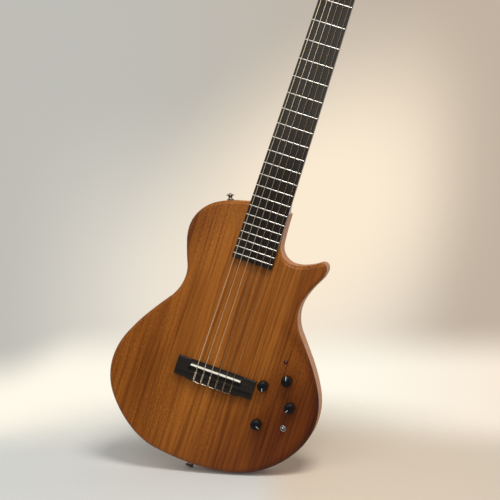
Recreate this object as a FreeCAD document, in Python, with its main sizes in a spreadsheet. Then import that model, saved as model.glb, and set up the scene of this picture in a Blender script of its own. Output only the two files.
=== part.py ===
"""Thin-bodied acoustic-electric classical guitar, as separate pieces in one document.

Across the guitar is X, with +X on the treble side. Along the neck is Z, up to the headstock,
with the nut's front edge at Z = 0. The face of the guitar looks along -Y, and heights over the
soundboard's face are called "out": out = -Y. All lengths are millimetres, all angles degrees.
"""
import FreeCAD
import Part
import math
import os

from FreeCAD import Placement, Rotation, Vector

SIZES = {
    # strings and fingerboard
    "scale_length": 650,
    "fret_count": 22,
    "nut_width": 49.5,
    "twelfth_fret_width": 58.5,
    "fingerboard_thickness": 6.5,
    "fingerboard_overhang": 7,
    "fret_crown_height": 1,
    "fret_crown_width": 2.2,
    "fret_top_width": 0.9,
    "fret_tang_width": 0.6,
    "fret_tang_depth": 1.6,
    "fret_end_inset": 0.4,
    "nut_thickness": 5,
    "nut_wall_height": 0.8,
    "nut_string_spread": 40.5,
    "saddle_string_spread": 58.5,
    "string_height_at_nut": 0.5,
    "string_height_at_saddle": 4.5,
    "thickest_string_radius": 0.55,
    "winding_gap": 0.5,
    # body
    "body_width": 328,
    "body_length": 410,
    "saddle_to_tail": 148,
    "top_thickness": 7,
    "core_thickness": 41,
    "front_bevel": 4,
    "back_bevel": 4,
    "chamber_floor": 10,
    "chamber_corner": 12,
    # neck
    "neck_rise": 1.5,
    "neck_depth_at_nut": 14.5,
    "neck_depth_at_joint": 17.5,
    "neck_side_height": 3.2,
    "heel_length": 26,
    "heel_clearance_to_back": 4,
    "tongue_width": 48,
    "tongue_length": 84,
    "tongue_depth": 20,
    "truss_rod_width": 6,
    "truss_rod_height": 9,
    "truss_rod_reach": 11,
    "truss_rod_start": 14,
    # headstock
    "head_tilt_angle": 12,
    "head_length": 176,
    "head_width": 72,
    "head_thickness": 18,
    "head_root_length": 18,
    "head_root_width": 61,
    "head_flare_length": 18,
    "head_crown_width": 58,
    "head_crown_height": 12,
    "head_shoulder_length": 14,
    "headplate_thickness": 2,
    "slot_width": 16,
    "slot_centre": 17.5,
    "slot_start": 23,
    "slot_length": 117,
    # bridge and saddle
    "bridge_width": 125,
    "bridge_height": 8.5,
    "bridge_front": 7.5,
    "bridge_back": 21.5,
    "bridge_centre_width": 84,
    "bridge_shelf_height": 5,
    "bridge_shelf_depth": 3.4,
    "valley_start": 2.8,
    "valley_height": 3,
    "tie_block_depth": 14,
    "tie_block_end": 23.5,
    "tie_block_height": 9,
    "tie_hole_height": 4.2,
    "tie_hole_radius": 0.9,
    "bridge_chamfer": 0.8,
    "saddle_length": 80,
    "saddle_thickness": 3,
    "saddle_slot_floor": 2,
    "pickup_thickness": 1.2,
    # tuning machines
    "roller_first": 52,
    "roller_pitch": 35,
    "roller_radius": 4.75,
    "roller_depth": 7,
    "roller_pin_radius": 2.5,
    "roller_pin_length": 6,
    "gear_teeth": 14,
    "gear_module": 0.7,
    "gear_width": 2.2,
    "worm_radius": 3.2,
    "worm_root_radius": 1.75,
    "worm_turns": 2.5,
    "worm_shaft_radius": 1.6,
    "gear_standoff": 3.6,
    "plate_thickness": 1.2,
    "plate_width": 16.4,
    "plate_margin": 15,
    "plate_end": 24,
    "plate_screw_inset": 5,
    "lug_thickness": 2.2,
    "lug_width": 6.4,
    "lug_reach": 6.4,
    "lug_gap": 10.6,
    "collar_radius": 2.3,
    "collar_thickness": 1,
    "button_start": 13,
    "button_length": 19,
    "button_width": 14,
    "button_thickness": 7,
    "button_socket": 6,
    "button_chamfer": 2,
    "machine_screw_head_radius": 2.1,
    "machine_screw_head_height": 1,
    "machine_screw_radius": 1.05,
    "machine_screw_length": 8,
    # controls
    "knob_radius": 8.3,
    "knob_top_radius": 7.2,
    "knob_height": 17,
    "knob_gap": 0.5,
    "knob_dome": 2,
    "knob_socket": 10,
    "shaft_radius": 3,
    "shaft_top": 12,
    "bushing_radius": 4.2,
    "bushing_top": 3,
    "pot_radius": 8,
    "pot_height": 9,
    "nut_flats": 12,
    "nut_height": 2,
    "cavity_margin": 15,
    "cover_ledge": 7,
    "cover_thickness": 2.4,
    "cover_screw_head_radius": 2.6,
    "cover_screw_head_height": 1.3,
    "cover_screw_length": 9,
    "board_margin": 5,
    "board_thickness": 1.6,
    "lens_radius": 2.3,
    "lens_height": 1.2,
    "lens_top_radius": 1.4,
    "lens_rim_height": 0.4,
    "switch_bushing_radius": 3.1,
    "switch_bushing_top": 4.5,
    "switch_bore_radius": 2.3,
    "switch_nut_flats": 9,
    "switch_case_width": 12,
    "switch_case_height": 9,
    "lever_length": 13,
    "lever_radius": 1,
    "lever_tip_radius": 1.7,
    "lever_tip_length": 5.1,
    "lever_tilt_angle": 12,
    # battery box
    "battery_length": 48.5,
    "battery_width": 26.5,
    "battery_height": 17.5,
    "battery_box_wall": 1.6,
    "battery_room": 1.2,
    "battery_flange": 5,
    "battery_flange_thickness": 2,
    "door_gap": 0.4,
    "door_pin_radius": 0.9,
    "door_pin_length": 1.6,
    # strap fittings and output jack
    "jack_depth": 27.5,
    "jack_radius": 6,
    "jack_length": 38,
    "jack_bore_radius": 3.25,
    "jack_neck_radius": 4.8,
    "jack_neck_length": 6,
    "ring_length": 11,
    "ring_flange_radius": 7.5,
    "ring_flange_thickness": 2,
    "ring_waist_radius": 5.9,
    "ring_head_thickness": 3,
    "ring_head_radius": 7.2,
    "button_angle": 20.5,
    "button_share_across": -0.4,
    "strap_button_length": 9,
    "strap_flange_radius": 5.5,
    "strap_flange_thickness": 1.5,
    "strap_waist_radius": 3.2,
    "strap_head_radius": 6.5,
    "strap_head_thickness": 2.5,
    "strap_screw_radius": 1.7,
    "strap_screw_head_radius": 3.4,
    "strap_screw_head_height": 1.5,
    "strap_screw_length": 18,
    # clearances
    "glue_gap": 0.15,
    "running_gap": 0.06,
    "end_gap": 0.3,
    "cut_overrun": 1,
}

# The body's outline, from the neck's treble side round the tail to its bass side. The first
# share is of half the body's width, the second of its length from the tail, and the third
# number is the heading there, in degrees turned from +X.
OUTLINE_SHARES = [
    (0.354, 0.829, 0),
    (0.549, 0.855, 30),
    (0.616, 0.870, 5),
    (0.672, 0.844, -92),
    (0.591, 0.763, -114),
    (0.541, 0.685, -90),
    (0.780, 0.515, -52),
    (1.014, 0.300, -90),
    (0.771, 0.099, -137),
    (0.000, 0.000, 180),
    (-0.610, 0.050, 147.5),
    (-0.988, 0.280, 90),
    (-0.799, 0.482, 57),
    (-0.561, 0.666, 90),
    (-0.622, 0.751, 109),
    (-0.671, 0.839, 90),
    (-0.505, 0.956, 32.5),
]
TREBLE_HEADING = -90
BASS_HEADING = 13

# Corners of the two chambers before they are rounded, as shares like the outline's.
LOWER_CHAMBER_SHARES = [(-0.28, 0.34), (-0.82, 0.32), (-0.74, 0.44), (-0.50, 0.60), (-0.28, 0.60)]
UPPER_CHAMBER_SHARES = [(-0.27, 0.70), (-0.46, 0.70), (-0.52, 0.80), (-0.44, 0.88), (-0.27, 0.90)]

# String radii from the bass side to the treble side, as shares of the thickest one.
STRING_RADIUS_SHARES = [1.0, 0.82, 0.68, 0.94, 0.76, 0.66]
STRING_FACETS = 5
WINDING_STEPS = 8
WINDING_TURNS = 2
GAP_SAMPLES = 4

# Flat sides of small round pieces, which stand in for their round walls.
SHOWN_SIDES = 20
SMALL_SIDES = 14
ROLLER_SIDES = 10
HIDDEN_SIDES = 8
WORM_SIDES = 8
SLOT_END_SIDES = 6
HEXAGON = 6
NECK_FACETS = 12
HEEL_STEPS = 6

# How much of the headstock's thickness its straight sides take, where the neck runs into it.
ROOT_SIDE_SHARE = 0.97

# Where the controls stand, in order round the cavity that holds them, as shares like the
# outline's, and the ones that a cover screw stands beyond.
CONTROL_SHARES = {
    "volume": (0.449, 0.373),
    "lens": (0.577, 0.481),
    "bass": (0.645, 0.419),
    "middle": (0.746, 0.3285),
    "switch": (0.746, 0.246),
    "treble": (0.499, 0.230),
}
KNOBS = ["volume", "bass", "middle", "treble"]
COVER_SCREW_CONTROLS = ["volume", "lens", "middle", "treble"]
BATTERY_SHARES = (-0.44, 0.21)

# Half widths of the gear's and the worm's teeth and their heights from the gear's pitch
# circle, as shares of the module, and the thread's foot as a share of the worm's root.
TOOTH_TIP_SHARE = 0.31
GEAR_FOOT_SHARE = 0.83
WORM_FOOT_SHARE = 0.9
GEAR_TIP_HEIGHT_SHARE = 0.93
GEAR_ROOT_DEPTH_SHARE = 1.29
WORM_REACH_SHARE = 0.86
THREAD_FOOT_SHARE = 0.8

# The saddle's crown, from its front face to its back: how far under the crown, and how far
# from its middle line, as shares of half its thickness.
SADDLE_CROWN_SHARES = [(0.6, 1), (0, 0.4), (0, -0.4), (0.9, -1)]

# Where the strings cross the saddle, behind its middle, as a share of half its thickness.
STRING_CROSSING_SHARE = 0.6

# The switch lever's ball and the end of its tip, as shares of the tip's radius: the radius
# there, and the height over the pivot or the lever's end.
LEVER_BALL_SHARES = [(0, -1), (0.8, -0.6)]
LEVER_TIP_SHARES = [(1, -1), (0.7, -0.3), (0, 0)]

# The flat top of a screw's head, as a share of the head's radius.
SCREW_CROWN_SHARE = 0.65

# The waist's end under a strap button's head, as a share of the head's thickness.
STRAP_HEAD_RIM_SHARE = 0.6

# How near a point lies to a face or a line that it counts as on.
TOUCH = 1e-6

# Where each string leaves its roller, as shares of the slot's width from the slot's centre.
ROLLER_CONTACT_SHARES = [0.12, -0.08, -0.22]

doc = FreeCAD.newDocument("acoustic_electric_guitar")
sheet = doc.addObject("Spreadsheet::Sheet", "sizes")
for row, (alias, number) in enumerate(SIZES.items(), start=1):
    sheet.set(f"A{row}", alias)
    sheet.set(f"B{row}", str(number))
    sheet.setAlias(f"B{row}", alias)
doc.recompute()


class Values:
    """The sheet's numbers, read by their aliases."""

    def __getattr__(self, alias):
        return float(sheet.get(alias))


size = Values()
pieces = []


def at(across, out, along):
    """A point of the guitar: across it, out of its face and along its neck."""
    return Vector(across, -out, along)


def keep(piece):
    """List a finished sub-part, whose label is its file's name."""
    pieces.append(piece)
    return piece


def shape_piece(label, shape, placement=None):
    """A sub-part whose shape is worked out from the sheet's numbers."""
    feature = doc.addObject("Part::Feature", label)
    feature.Label = label
    feature.Shape = shape
    if placement:
        feature.Placement = placement
    return feature


def new_body(label):
    body = doc.addObject("PartDesign::Body", label)
    body.Label = label
    return body


def new_sketch(body, role, edges, offset="0"):
    """A sketch of edges, parallel to one of its body's origin planes."""
    sketch = body.newObject("Sketcher::SketchObject", body.Name + "_sketch")
    plane = next(item for item in body.Origin.OriginFeatures if item.Role == role)
    sketch.AttachmentSupport = [(plane, "")]
    sketch.MapMode = "FlatFace"
    sketch.setExpression("AttachmentOffset.Base.z", offset)
    for edge in edges:
        sketch.addGeometry(edge, False)
    return sketch


def pad(body, role, edges, length, offset="0", reverse=False):
    """Material from a sketch's plane along the plane's normal, or against it."""
    feature = body.newObject("PartDesign::Pad", body.Name + "_pad")
    feature.Profile = new_sketch(body, role, edges, offset)
    feature.setExpression("Length", length)
    feature.Reversed = reverse
    doc.recompute()
    return feature


def pocket(body, role, edges, length, offset="0", reverse=False):
    """A cut from a sketch's plane against the plane's normal, or along it."""
    feature = body.newObject("PartDesign::Pocket", body.Name + "_pocket")
    feature.Profile = new_sketch(body, role, edges, offset)
    feature.setExpression("Length", length)
    feature.Reversed = reverse
    faces_before = len(body.Shape.Faces)
    doc.recompute()
    if len(body.Shape.Faces) == faces_before:
        raise ValueError(feature.Name + " cuts nothing")
    return feature


def drilled(body, name, radius, depth, place):
    """A hidden many-sided hole that clears a round piece, from a place along its Z."""
    hole = body.newObject("PartDesign::SubtractivePrism", name)
    hole.Polygon = HIDDEN_SIDES
    hole.setExpression("Circumradius", f"({radius}) / cos({180 / HIDDEN_SIDES})")
    hole.setExpression("Height", depth)
    hole.Placement = place
    doc.recompute()
    return hole


def round_edges(body, kind, names, amount):
    """A fillet or a chamfer on named edges of the body's last feature."""
    base = body.Tip
    feature = body.newObject("PartDesign::" + kind, body.Name + "_" + kind.lower())
    feature.Base = (base, names)
    feature.setExpression("Radius" if kind == "Fillet" else "Size", amount)
    doc.recompute()
    return feature


def edge_names(shape, wanted):
    """Names of the edges whose every sampled point is wanted."""
    names = []
    for index, edge in enumerate(shape.Edges, start=1):
        if all(wanted(point) for point in edge.discretize(5)):
            names.append(f"Edge{index}")
    return names


def polygon(points):
    """Closed straight edges through points of a sketch's plane."""
    corners = [Vector(x, y, 0) for x, y in points]
    return [Part.LineSegment(a, b) for a, b in zip(corners, corners[1:] + corners[:1])]


def rectangle(left, right, low, high):
    return polygon([(left, low), (right, low), (right, high), (left, high)])


def hole_edges(x, y, radius, sides):
    """A many-sided hole that clears a round piece."""
    corner = clear_radius(radius, sides)
    turns = [2 * math.pi * (k + 0.5) / sides for k in range(sides)]
    return polygon([(x + corner * math.cos(a), y + corner * math.sin(a)) for a in turns])


def curves_of(wire):
    """The edges of a wire, as a sketch takes them."""
    return [edge.Curve.trim(*edge.ParameterRange) if edge.Curve.TypeId != "Part::GeomLine"
            else Part.LineSegment(edge.Vertexes[0].Point, edge.Vertexes[1].Point)
            for edge in wire.Edges]


def rounded(points, radius):
    """A polygon grown by a radius, so that its corners become arcs of that radius."""
    corners = [Vector(x, y, 0) for x, y in points]
    wire = Part.makePolygon(corners + corners[:1])
    return wire.makeOffset2D(radius)


def solid_of(faces):
    """A solid from faces that close it."""
    shell = Part.makeCompound(faces)
    shell.sewShape()
    solid = Part.Solid(shell.Shells[0] if shell.Shells else shell)
    if solid.Volume < 0:
        solid.reverse()
    return solid


def face_of(corners):
    """A flat face of corners, which may meet where the axis is reached."""
    distinct = [p for k, p in enumerate(corners) if (p - corners[k - 1]).Length > TOUCH]
    if len(distinct) < 3:
        return None
    return Part.Face(Part.makePolygon(distinct + distinct[:1]))


def clear_radius(radius, sides):
    """The corner radius of a many-sided hole whose flats just clear a round piece."""
    return radius / math.cos(math.pi / sides)


def turned_shape(profile, sides):
    """A many-sided turned piece about Z, from a closed profile of radius and height."""
    faces = []
    turns = [2 * math.pi * (k + 0.5) / sides for k in range(sides)]
    for (r0, z0), (r1, z1) in zip(profile, profile[1:] + profile[:1]):
        if r0 == 0 and r1 == 0:
            continue
        if z0 == z1 and min(r0, r1) == 0:
            radius = max(r0, r1)
            ring = [Vector(radius * math.cos(a), radius * math.sin(a), z0) for a in turns]
            faces.append(Part.Face(Part.makePolygon(ring + ring[:1])))
            continue
        for a, b in zip(turns, turns[1:] + turns[:1]):
            faces.append(face_of([
                Vector(r0 * math.cos(a), r0 * math.sin(a), z0),
                Vector(r1 * math.cos(a), r1 * math.sin(a), z1),
                Vector(r1 * math.cos(b), r1 * math.sin(b), z1),
                Vector(r0 * math.cos(b), r0 * math.sin(b), z0),
            ]))
    return solid_of([face for face in faces if face]).removeSplitter()


def prism(radius, sides, length, start, direction):
    """A many-sided rod from a start point along a direction."""
    rod = turned_shape([(0, 0), (radius, 0), (radius, length), (0, length)], sides)
    rod.Placement = Placement(start, Rotation(Vector(0, 0, 1), direction))
    return rod


def hole_through(radius, length, start, direction):
    """A cutter for a hidden hole that clears a round piece."""
    return prism(clear_radius(radius + size.running_gap, HIDDEN_SIDES), HIDDEN_SIDES, length,
                 start, direction)


def turned_piece(label, profile, sides, placement):
    """A turned sub-part in its place."""
    return shape_piece(label, turned_shape(profile, sides), placement)


def outward(across, along):
    """The place of a control on the face, with its axis pointing out."""
    return Placement(at(across, 0, along), Rotation(Vector(1, 0, 0), 90))


def cylinder(radius, length, start, direction):
    return Part.makeCylinder(radius, length, start, direction)


def box_between(low, high):
    """A box between two opposite corners, in any order."""
    corner = Vector(min(low.x, high.x), min(low.y, high.y), min(low.z, high.z))
    span = Vector(abs(low.x - high.x), abs(low.y - high.y), abs(low.z - high.z))
    return Part.makeBox(span.x, span.y, span.z, corner)


def extruded_across(points, width):
    """A prism across the guitar, centred, from points of out and along."""
    corners = [at(-width / 2, out, along) for out, along in points]
    face = Part.Face(Part.makePolygon(corners + corners[:1]))
    return face.extrude(Vector(width, 0, 0))


# Levels and lines that several pieces share
saddle_z = -size.scale_length
tail_z = saddle_z - size.saddle_to_tail
joint_z = tail_z + size.body_length
back_out = -(size.top_thickness + size.core_thickness)
fingerboard_top = size.neck_rise + size.fingerboard_thickness
fret_plane = fingerboard_top + size.fret_crown_height
saddle_crown = fret_plane + size.string_height_at_saddle
nut_slot_floor = fret_plane + size.string_height_at_nut
string_count = len(STRING_RADIUS_SHARES)
rollers_per_side = string_count // 2
head_place = Placement(at(0, size.neck_rise, size.nut_thickness),
                       Rotation(Vector(1, 0, 0), -size.head_tilt_angle))


def neck_width(distance):
    """The fingerboard's width at a distance from the nut."""
    growth = (size.twelfth_fret_width - size.nut_width) / (size.scale_length / 2)
    return size.nut_width + growth * distance


def fret_distance(number):
    """Equal temperament: each fret shortens the string by the same ratio."""
    return size.scale_length * (1 - 2 ** (-number / 12))


def body_point(across_share, along_share):
    """A sketch point of the body from its shares."""
    return Vector(across_share * size.body_width / 2, tail_z + along_share * size.body_length, 0)


def arc_from(start, tangent, end):
    """The arc that leaves a point along a tangent and ends at another point."""
    normal = Vector(-tangent.y, tangent.x, 0)
    chord = end - start
    reach = normal.dot(chord)
    if abs(reach) < chord.Length * TOUCH:
        return Part.LineSegment(start, end)
    centre = start + normal * (chord.Length ** 2 / (2 * reach))
    middle = (start + end) * 0.5 - centre
    return Part.Arc(start, centre + middle.normalize() * (start - centre).Length, end)


def smooth_edges(points, headings):
    """A smooth line of arcs through points, two between each pair, each tangent to the next."""
    tangents = [Vector(math.cos(math.radians(heading)), math.sin(math.radians(heading)), 0)
                for heading in headings]
    edges = []
    for index in range(len(points) - 1):
        start, end = points[index], points[index + 1]
        leave, arrive = tangents[index], tangents[index + 1]
        chord = end - start
        turn = 2 * (1 - leave.dot(arrive))
        lean = chord.dot(leave + arrive)
        if turn < TOUCH:
            arm = chord.Length ** 2 / (2 * lean)
        else:
            arm = (math.sqrt(lean ** 2 + turn * chord.Length ** 2) - lean) / turn
        joint = (start + leave * arm + end - arrive * arm) * 0.5
        edges.append(arc_from(start, leave, joint))
        edges.append(arc_from(end, arrive * -1, joint))
    return edges


def outline_edges():
    """The body's outline: a smooth line of arcs, closed by a straight edge at the neck."""
    corner = neck_width(-joint_z) / 2
    treble = Vector(corner, joint_z, 0)
    bass = Vector(-corner, joint_z, 0)
    points = [treble] + [body_point(*share[:2]) for share in OUTLINE_SHARES] + [bass]
    headings = [TREBLE_HEADING] + [share[2] for share in OUTLINE_SHARES] + [BASS_HEADING]
    return smooth_edges(points, headings) + [Part.LineSegment(bass, treble)]


def tongue_edges(gap, overrun):
    """The neck's tongue as seen from the front, grown by a gap."""
    half = size.tongue_width / 2 + gap
    return rectangle(-half, half, joint_z - size.tongue_length - gap, joint_z + overrun)


def control_point(name):
    """A control's place across the guitar and along it."""
    point = body_point(*CONTROL_SHARES[name])
    return point.x, point.y


def control_points():
    """The controls in order round the cavity that holds them."""
    return [control_point(name) for name in CONTROL_SHARES]


def cover_screw_points():
    """Screws outside the cavity, beyond the controls at its corners."""
    controls = [control_point(name) for name in COVER_SCREW_CONTROLS]
    centre_x = sum(x for x, z in controls) / len(controls)
    centre_z = sum(z for x, z in controls) / len(controls)
    reach = size.cavity_margin + size.cover_ledge / 2
    places = []
    for x, z in controls:
        away = Vector(x - centre_x, z - centre_z, 0).normalize() * reach
        places.append((x + away.x, z + away.y))
    return places


def strap_button_frame():
    """The place on the bass shoulder where the strap button stands."""
    outline = Part.Wire([edge.toShape() for edge in outline_edges()])
    level = size.button_share_across * size.body_width / 2
    line = Part.makeLine(Vector(level, joint_z, 0), Vector(level, (joint_z + tail_z) / 2, 0))
    touch = outline.distToShape(line)[1][0][0]
    rotation = Rotation(Vector(0, 1, 0), -size.button_angle)
    return Placement(at(touch.x, -size.jack_depth, touch.y), rotation)


def make_body_core():
    """The chambered back and sides, one piece of light wood."""
    body = new_body("body_core")
    front = "-sizes.top_thickness"
    back = "-sizes.top_thickness - sizes.core_thickness"
    pad(body, "XZ_Plane", outline_edges(), "sizes.core_thickness", front, reverse=True)
    back_edges = edge_names(body.Shape, lambda p: abs(p.y + back_out) < TOUCH)
    straight = edge_names(body.Shape, lambda p: abs(p.z - joint_z) < TOUCH)
    round_edges(body, "Chamfer", [n for n in back_edges if n not in straight], "sizes.back_bevel")
    pocket(body, "XZ_Plane", tongue_edges(size.glue_gap, size.cut_overrun),
           "sizes.tongue_depth - sizes.top_thickness + sizes.glue_gap", front)
    cavity = rounded(control_points(), size.cavity_margin)
    pocket(body, "XZ_Plane", curves_of(cavity), "sizes.core_thickness + sizes.cut_overrun", front)
    recess = rounded(control_points(), size.cavity_margin + size.cover_ledge)
    pocket(body, "XZ_Plane", curves_of(recess), "sizes.cover_thickness", back, reverse=True)
    for shares in (LOWER_CHAMBER_SHARES, UPPER_CHAMBER_SHARES):
        corners = [body_point(*share) for share in shares]
        chamber = rounded([(p.x, p.y) for p in corners], size.chamber_corner)
        pocket(body, "XZ_Plane", curves_of(chamber), "sizes.core_thickness - sizes.chamber_floor",
               front)
    pocket(body, "XZ_Plane", battery_box_edges(size.glue_gap),
           "sizes.battery_height + sizes.battery_box_wall + sizes.glue_gap", back, reverse=True)
    drilled(body, "jack_hole", "sizes.jack_radius + sizes.glue_gap",
            "sizes.jack_length + sizes.cut_overrun * 2",
            Placement(at(0, -size.jack_depth, tail_z - size.cut_overrun), Rotation()))
    down = Placement(Vector(0, 0, -size.strap_screw_length), Rotation())
    drilled(body, "strap_screw_hole", "sizes.strap_screw_radius + sizes.running_gap",
            "sizes.strap_screw_length + sizes.cut_overrun", strap_button_frame() * down)
    shank = size.machine_screw_radius + size.running_gap
    screw_holes = [edge for x, z in cover_screw_points()
                   for edge in hole_edges(x, z, shank, HIDDEN_SIDES)]
    pocket(body, "XZ_Plane", screw_holes, "sizes.cover_screw_length + sizes.cover_thickness", back,
           reverse=True)
    return keep(body)


def make_soundboard():
    """The figured top plate, bevelled at its front edge."""
    body = new_body("soundboard")
    bottom = "-sizes.top_thickness"
    pad(body, "XZ_Plane", outline_edges(), "sizes.top_thickness", bottom)
    front_edges = edge_names(body.Shape, lambda p: abs(p.y) < TOUCH)
    straight = edge_names(body.Shape, lambda p: abs(p.z - joint_z) < TOUCH)
    round_edges(body, "Chamfer", [n for n in front_edges if n not in straight], "sizes.front_bevel")
    through = "sizes.top_thickness + sizes.cut_overrun"
    pocket(body, "XZ_Plane", tongue_edges(size.glue_gap, size.cut_overrun), through,
           "sizes.cut_overrun")
    holes = []
    for name in KNOBS:
        bushing = size.bushing_radius + size.glue_gap
        holes += hole_edges(*control_point(name), bushing, HIDDEN_SIDES)
    holes += hole_edges(*control_point("lens"), size.lens_radius + size.running_gap, SMALL_SIDES)
    holes += hole_edges(*control_point("switch"), size.switch_bushing_radius + size.glue_gap,
                        HIDDEN_SIDES)
    pocket(body, "XZ_Plane", holes, through + " * 2", "sizes.cut_overrun")
    return keep(body)


def neck_ring(width, depth, side, place):
    """Corners of a D-shaped section: flat on top, short straight sides and a round back."""
    half = width / 2
    corners = [at(-half, 0, 0), at(half, 0, 0)]
    for step in range(NECK_FACETS + 1):
        angle = math.pi * step / NECK_FACETS
        corners.append(at(half * math.cos(angle), -side - (depth - side) * math.sin(angle), 0))
    return [place.multVec(corner) for corner in corners]


def loft_of(rings):
    """A solid in flat triangles from ring to ring, closed by its first and last ring."""
    faces = [face_of(rings[0]), face_of(rings[-1])]
    count = len(rings[0])
    for low, high in zip(rings, rings[1:]):
        for k in range(count):
            n = (k + 1) % count
            faces.append(face_of([low[k], low[n], high[n]]))
            faces.append(face_of([low[k], high[n], high[k]]))
    return solid_of([face for face in faces if face])


def head_outline(start, start_width):
    """The headstock's outline in its own plane, from a start below its flare."""
    half = size.head_width / 2
    shoulder = size.head_length - size.head_crown_height - size.head_shoulder_length
    crown = size.head_length - size.head_crown_height
    flare = size.head_root_length + size.head_flare_length
    right = [
        (start_width / 2, start),
        (size.head_root_width / 2, size.head_root_length),
        (half, flare),
        (half, shoulder),
        (size.head_crown_width / 2, crown),
    ]
    if start == size.head_root_length:
        right = right[1:]
    left = [(-x, z) for x, z in reversed(right)]
    points = [Vector(x, 0, z) for x, z in right + left]
    split = len(right)
    edges = [Part.makeLine(a, b) for a, b in zip(points[:split], points[1:split])]
    edges.append(Part.Arc(points[split - 1], Vector(0, 0, size.head_length), points[split]).toShape())
    edges += [Part.makeLine(a, b) for a, b in zip(points[split:], points[split + 1:])]
    edges.append(Part.makeLine(points[-1], points[0]))
    return Part.Wire(edges)


def head_slot(side):
    """The outline of one string slot, with many-sided round ends."""
    radius = size.slot_width / 2
    low = size.slot_start + radius
    high = size.slot_start + size.slot_length - radius
    corners = []
    for start, level in ((0, high), (math.pi, low)):
        for step in range(SLOT_END_SIDES + 1):
            angle = start + math.pi * step / SLOT_END_SIDES
            corners.append(Vector(side * size.slot_centre + radius * math.cos(angle), 0,
                                  level + radius * math.sin(angle)))
    return Part.makePolygon(corners + corners[:1])


def slab(wire, out, thickness):
    """A plate of the headstock: an outline raised to a height and thickened outward."""
    face = Part.Face(wire)
    face.translate(Vector(0, -out, 0))
    return face.extrude(Vector(0, -thickness, 0))


def slotted(plate, out, thickness):
    """A headstock plate with both string slots cut out of it."""
    overrun = size.cut_overrun
    for side in (-1, 1):
        plate = plate.cut(slab(head_slot(side), out - overrun, thickness + 2 * overrun))
    return plate


def roller_along(index):
    return size.roller_first + index * size.roller_pitch


def make_neck():
    """Neck shaft, heel, tongue and slotted headstock, one piece."""
    top = size.neck_rise
    side = size.neck_side_height
    joint_width = neck_width(-joint_z)
    heel_start = joint_z + size.heel_length
    span = size.neck_depth_at_joint - size.neck_depth_at_nut

    def ring_at(z, depth, side_height):
        return neck_ring(neck_width(max(-z, 0)), depth, side_height,
                         Placement(at(0, top, z), Rotation()))

    nut_end = ring_at(size.nut_thickness, size.neck_depth_at_nut, side)
    arc_depth = size.neck_depth_at_joint - side
    full_depth = top - back_out - size.heel_clearance_to_back
    rings = [nut_end, ring_at(0, size.neck_depth_at_nut, side)]
    for step in range(HEEL_STEPS + 1):
        share = step / HEEL_STEPS
        z = heel_start - share * size.heel_length
        lean = size.neck_depth_at_nut + span * z / joint_z
        depth = lean + (full_depth - lean) * (1 - math.sqrt(1 - share ** 2))
        rings.append(ring_at(z, depth, depth - arc_depth))
    tongue = box_between(
        at(-size.tongue_width / 2, top, joint_z + size.cut_overrun),
        at(size.tongue_width / 2, -size.tongue_depth, joint_z - size.tongue_length))
    root_place = head_place * Placement(Vector(0, 0, size.head_root_length), Rotation())
    root_end = neck_ring(size.head_root_width, size.head_thickness,
                         size.head_thickness * ROOT_SIDE_SHARE, root_place)
    outline = head_outline(size.head_root_length, size.head_root_width)
    head = slotted(slab(outline, -size.head_thickness, size.head_thickness),
                   -size.head_thickness, size.head_thickness)
    head.Placement = head_place
    neck = loft_of(rings[::-1] + [root_end]).fuse([tongue, head]).removeSplitter()
    channel = box_between(
        at(-size.truss_rod_width / 2 - size.glue_gap, top + size.cut_overrun,
           -size.truss_rod_start + size.glue_gap),
        at(size.truss_rod_width / 2 + size.glue_gap, top - size.truss_rod_height - size.glue_gap,
           joint_z - size.truss_rod_reach - size.glue_gap))
    cuts = [channel]
    for side_sign in (-1, 1):
        for index in range(rollers_per_side):
            inner = size.slot_centre - size.slot_width / 2 - size.roller_pin_length
            start = at(side_sign * inner, -size.roller_depth, roller_along(index))
            hole = hole_through(size.roller_pin_radius, size.head_width / 2, start,
                                Vector(side_sign, 0, 0))
            hole.Placement = head_place * hole.Placement
            cuts.append(hole)
        for along in plate_screw_places():
            start = at(side_sign * (size.head_width / 2 - size.machine_screw_length),
                       -size.roller_depth, along)
            hole = hole_through(size.machine_screw_radius, size.head_width / 2, start,
                                Vector(side_sign, 0, 0))
            hole.Placement = head_place * hole.Placement
            cuts.append(hole)
    return keep(shape_piece("neck", neck.cut(cuts)))


def make_headplate():
    """The dark face plate of the headstock."""
    bevel = math.tan(math.radians(size.head_tilt_angle)) * size.headplate_thickness
    outline = head_outline(bevel, size.nut_width)
    plate = slotted(slab(outline, 0, size.headplate_thickness), 0, size.headplate_thickness)
    return keep(shape_piece("headplate", plate, head_place))


def make_truss_rod():
    """The steel rod that stiffens the neck, with its nut at the body end."""
    half = size.truss_rod_width / 2
    end = joint_z - size.truss_rod_reach
    low = size.neck_rise - size.truss_rod_height
    nut_length = size.truss_rod_height
    bar = box_between(at(-half, size.neck_rise, -size.truss_rod_start),
                      at(half, low, end + nut_length))
    nut = prism(half, HIDDEN_SIDES, nut_length, at(0, low + half, end), Vector(0, 0, 1))
    return keep(shape_piece("truss_rod", bar.fuse(nut)))


def make_fingerboard():
    """The dark fingerboard, with a sawn slot for each fret's tang."""
    body = new_body("fingerboard")
    end = fret_distance(size.fret_count) + size.fingerboard_overhang
    near = neck_width(0) / 2
    far = neck_width(end) / 2
    pad(body, "XZ_Plane", polygon([(-near, 0), (-far, -end), (far, -end), (near, 0)]),
        "sizes.fingerboard_thickness", "sizes.neck_rise")
    slots = []
    half = size.fret_tang_width / 2 + size.running_gap
    for number in range(1, int(size.fret_count) + 1):
        z = -fret_distance(number)
        slots += rectangle(-far - size.cut_overrun, far + size.cut_overrun, z - half, z + half)
    pocket(body, "XZ_Plane", slots, "sizes.fret_tang_depth + sizes.running_gap",
           "sizes.neck_rise + sizes.fingerboard_thickness")
    return keep(body)


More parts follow.
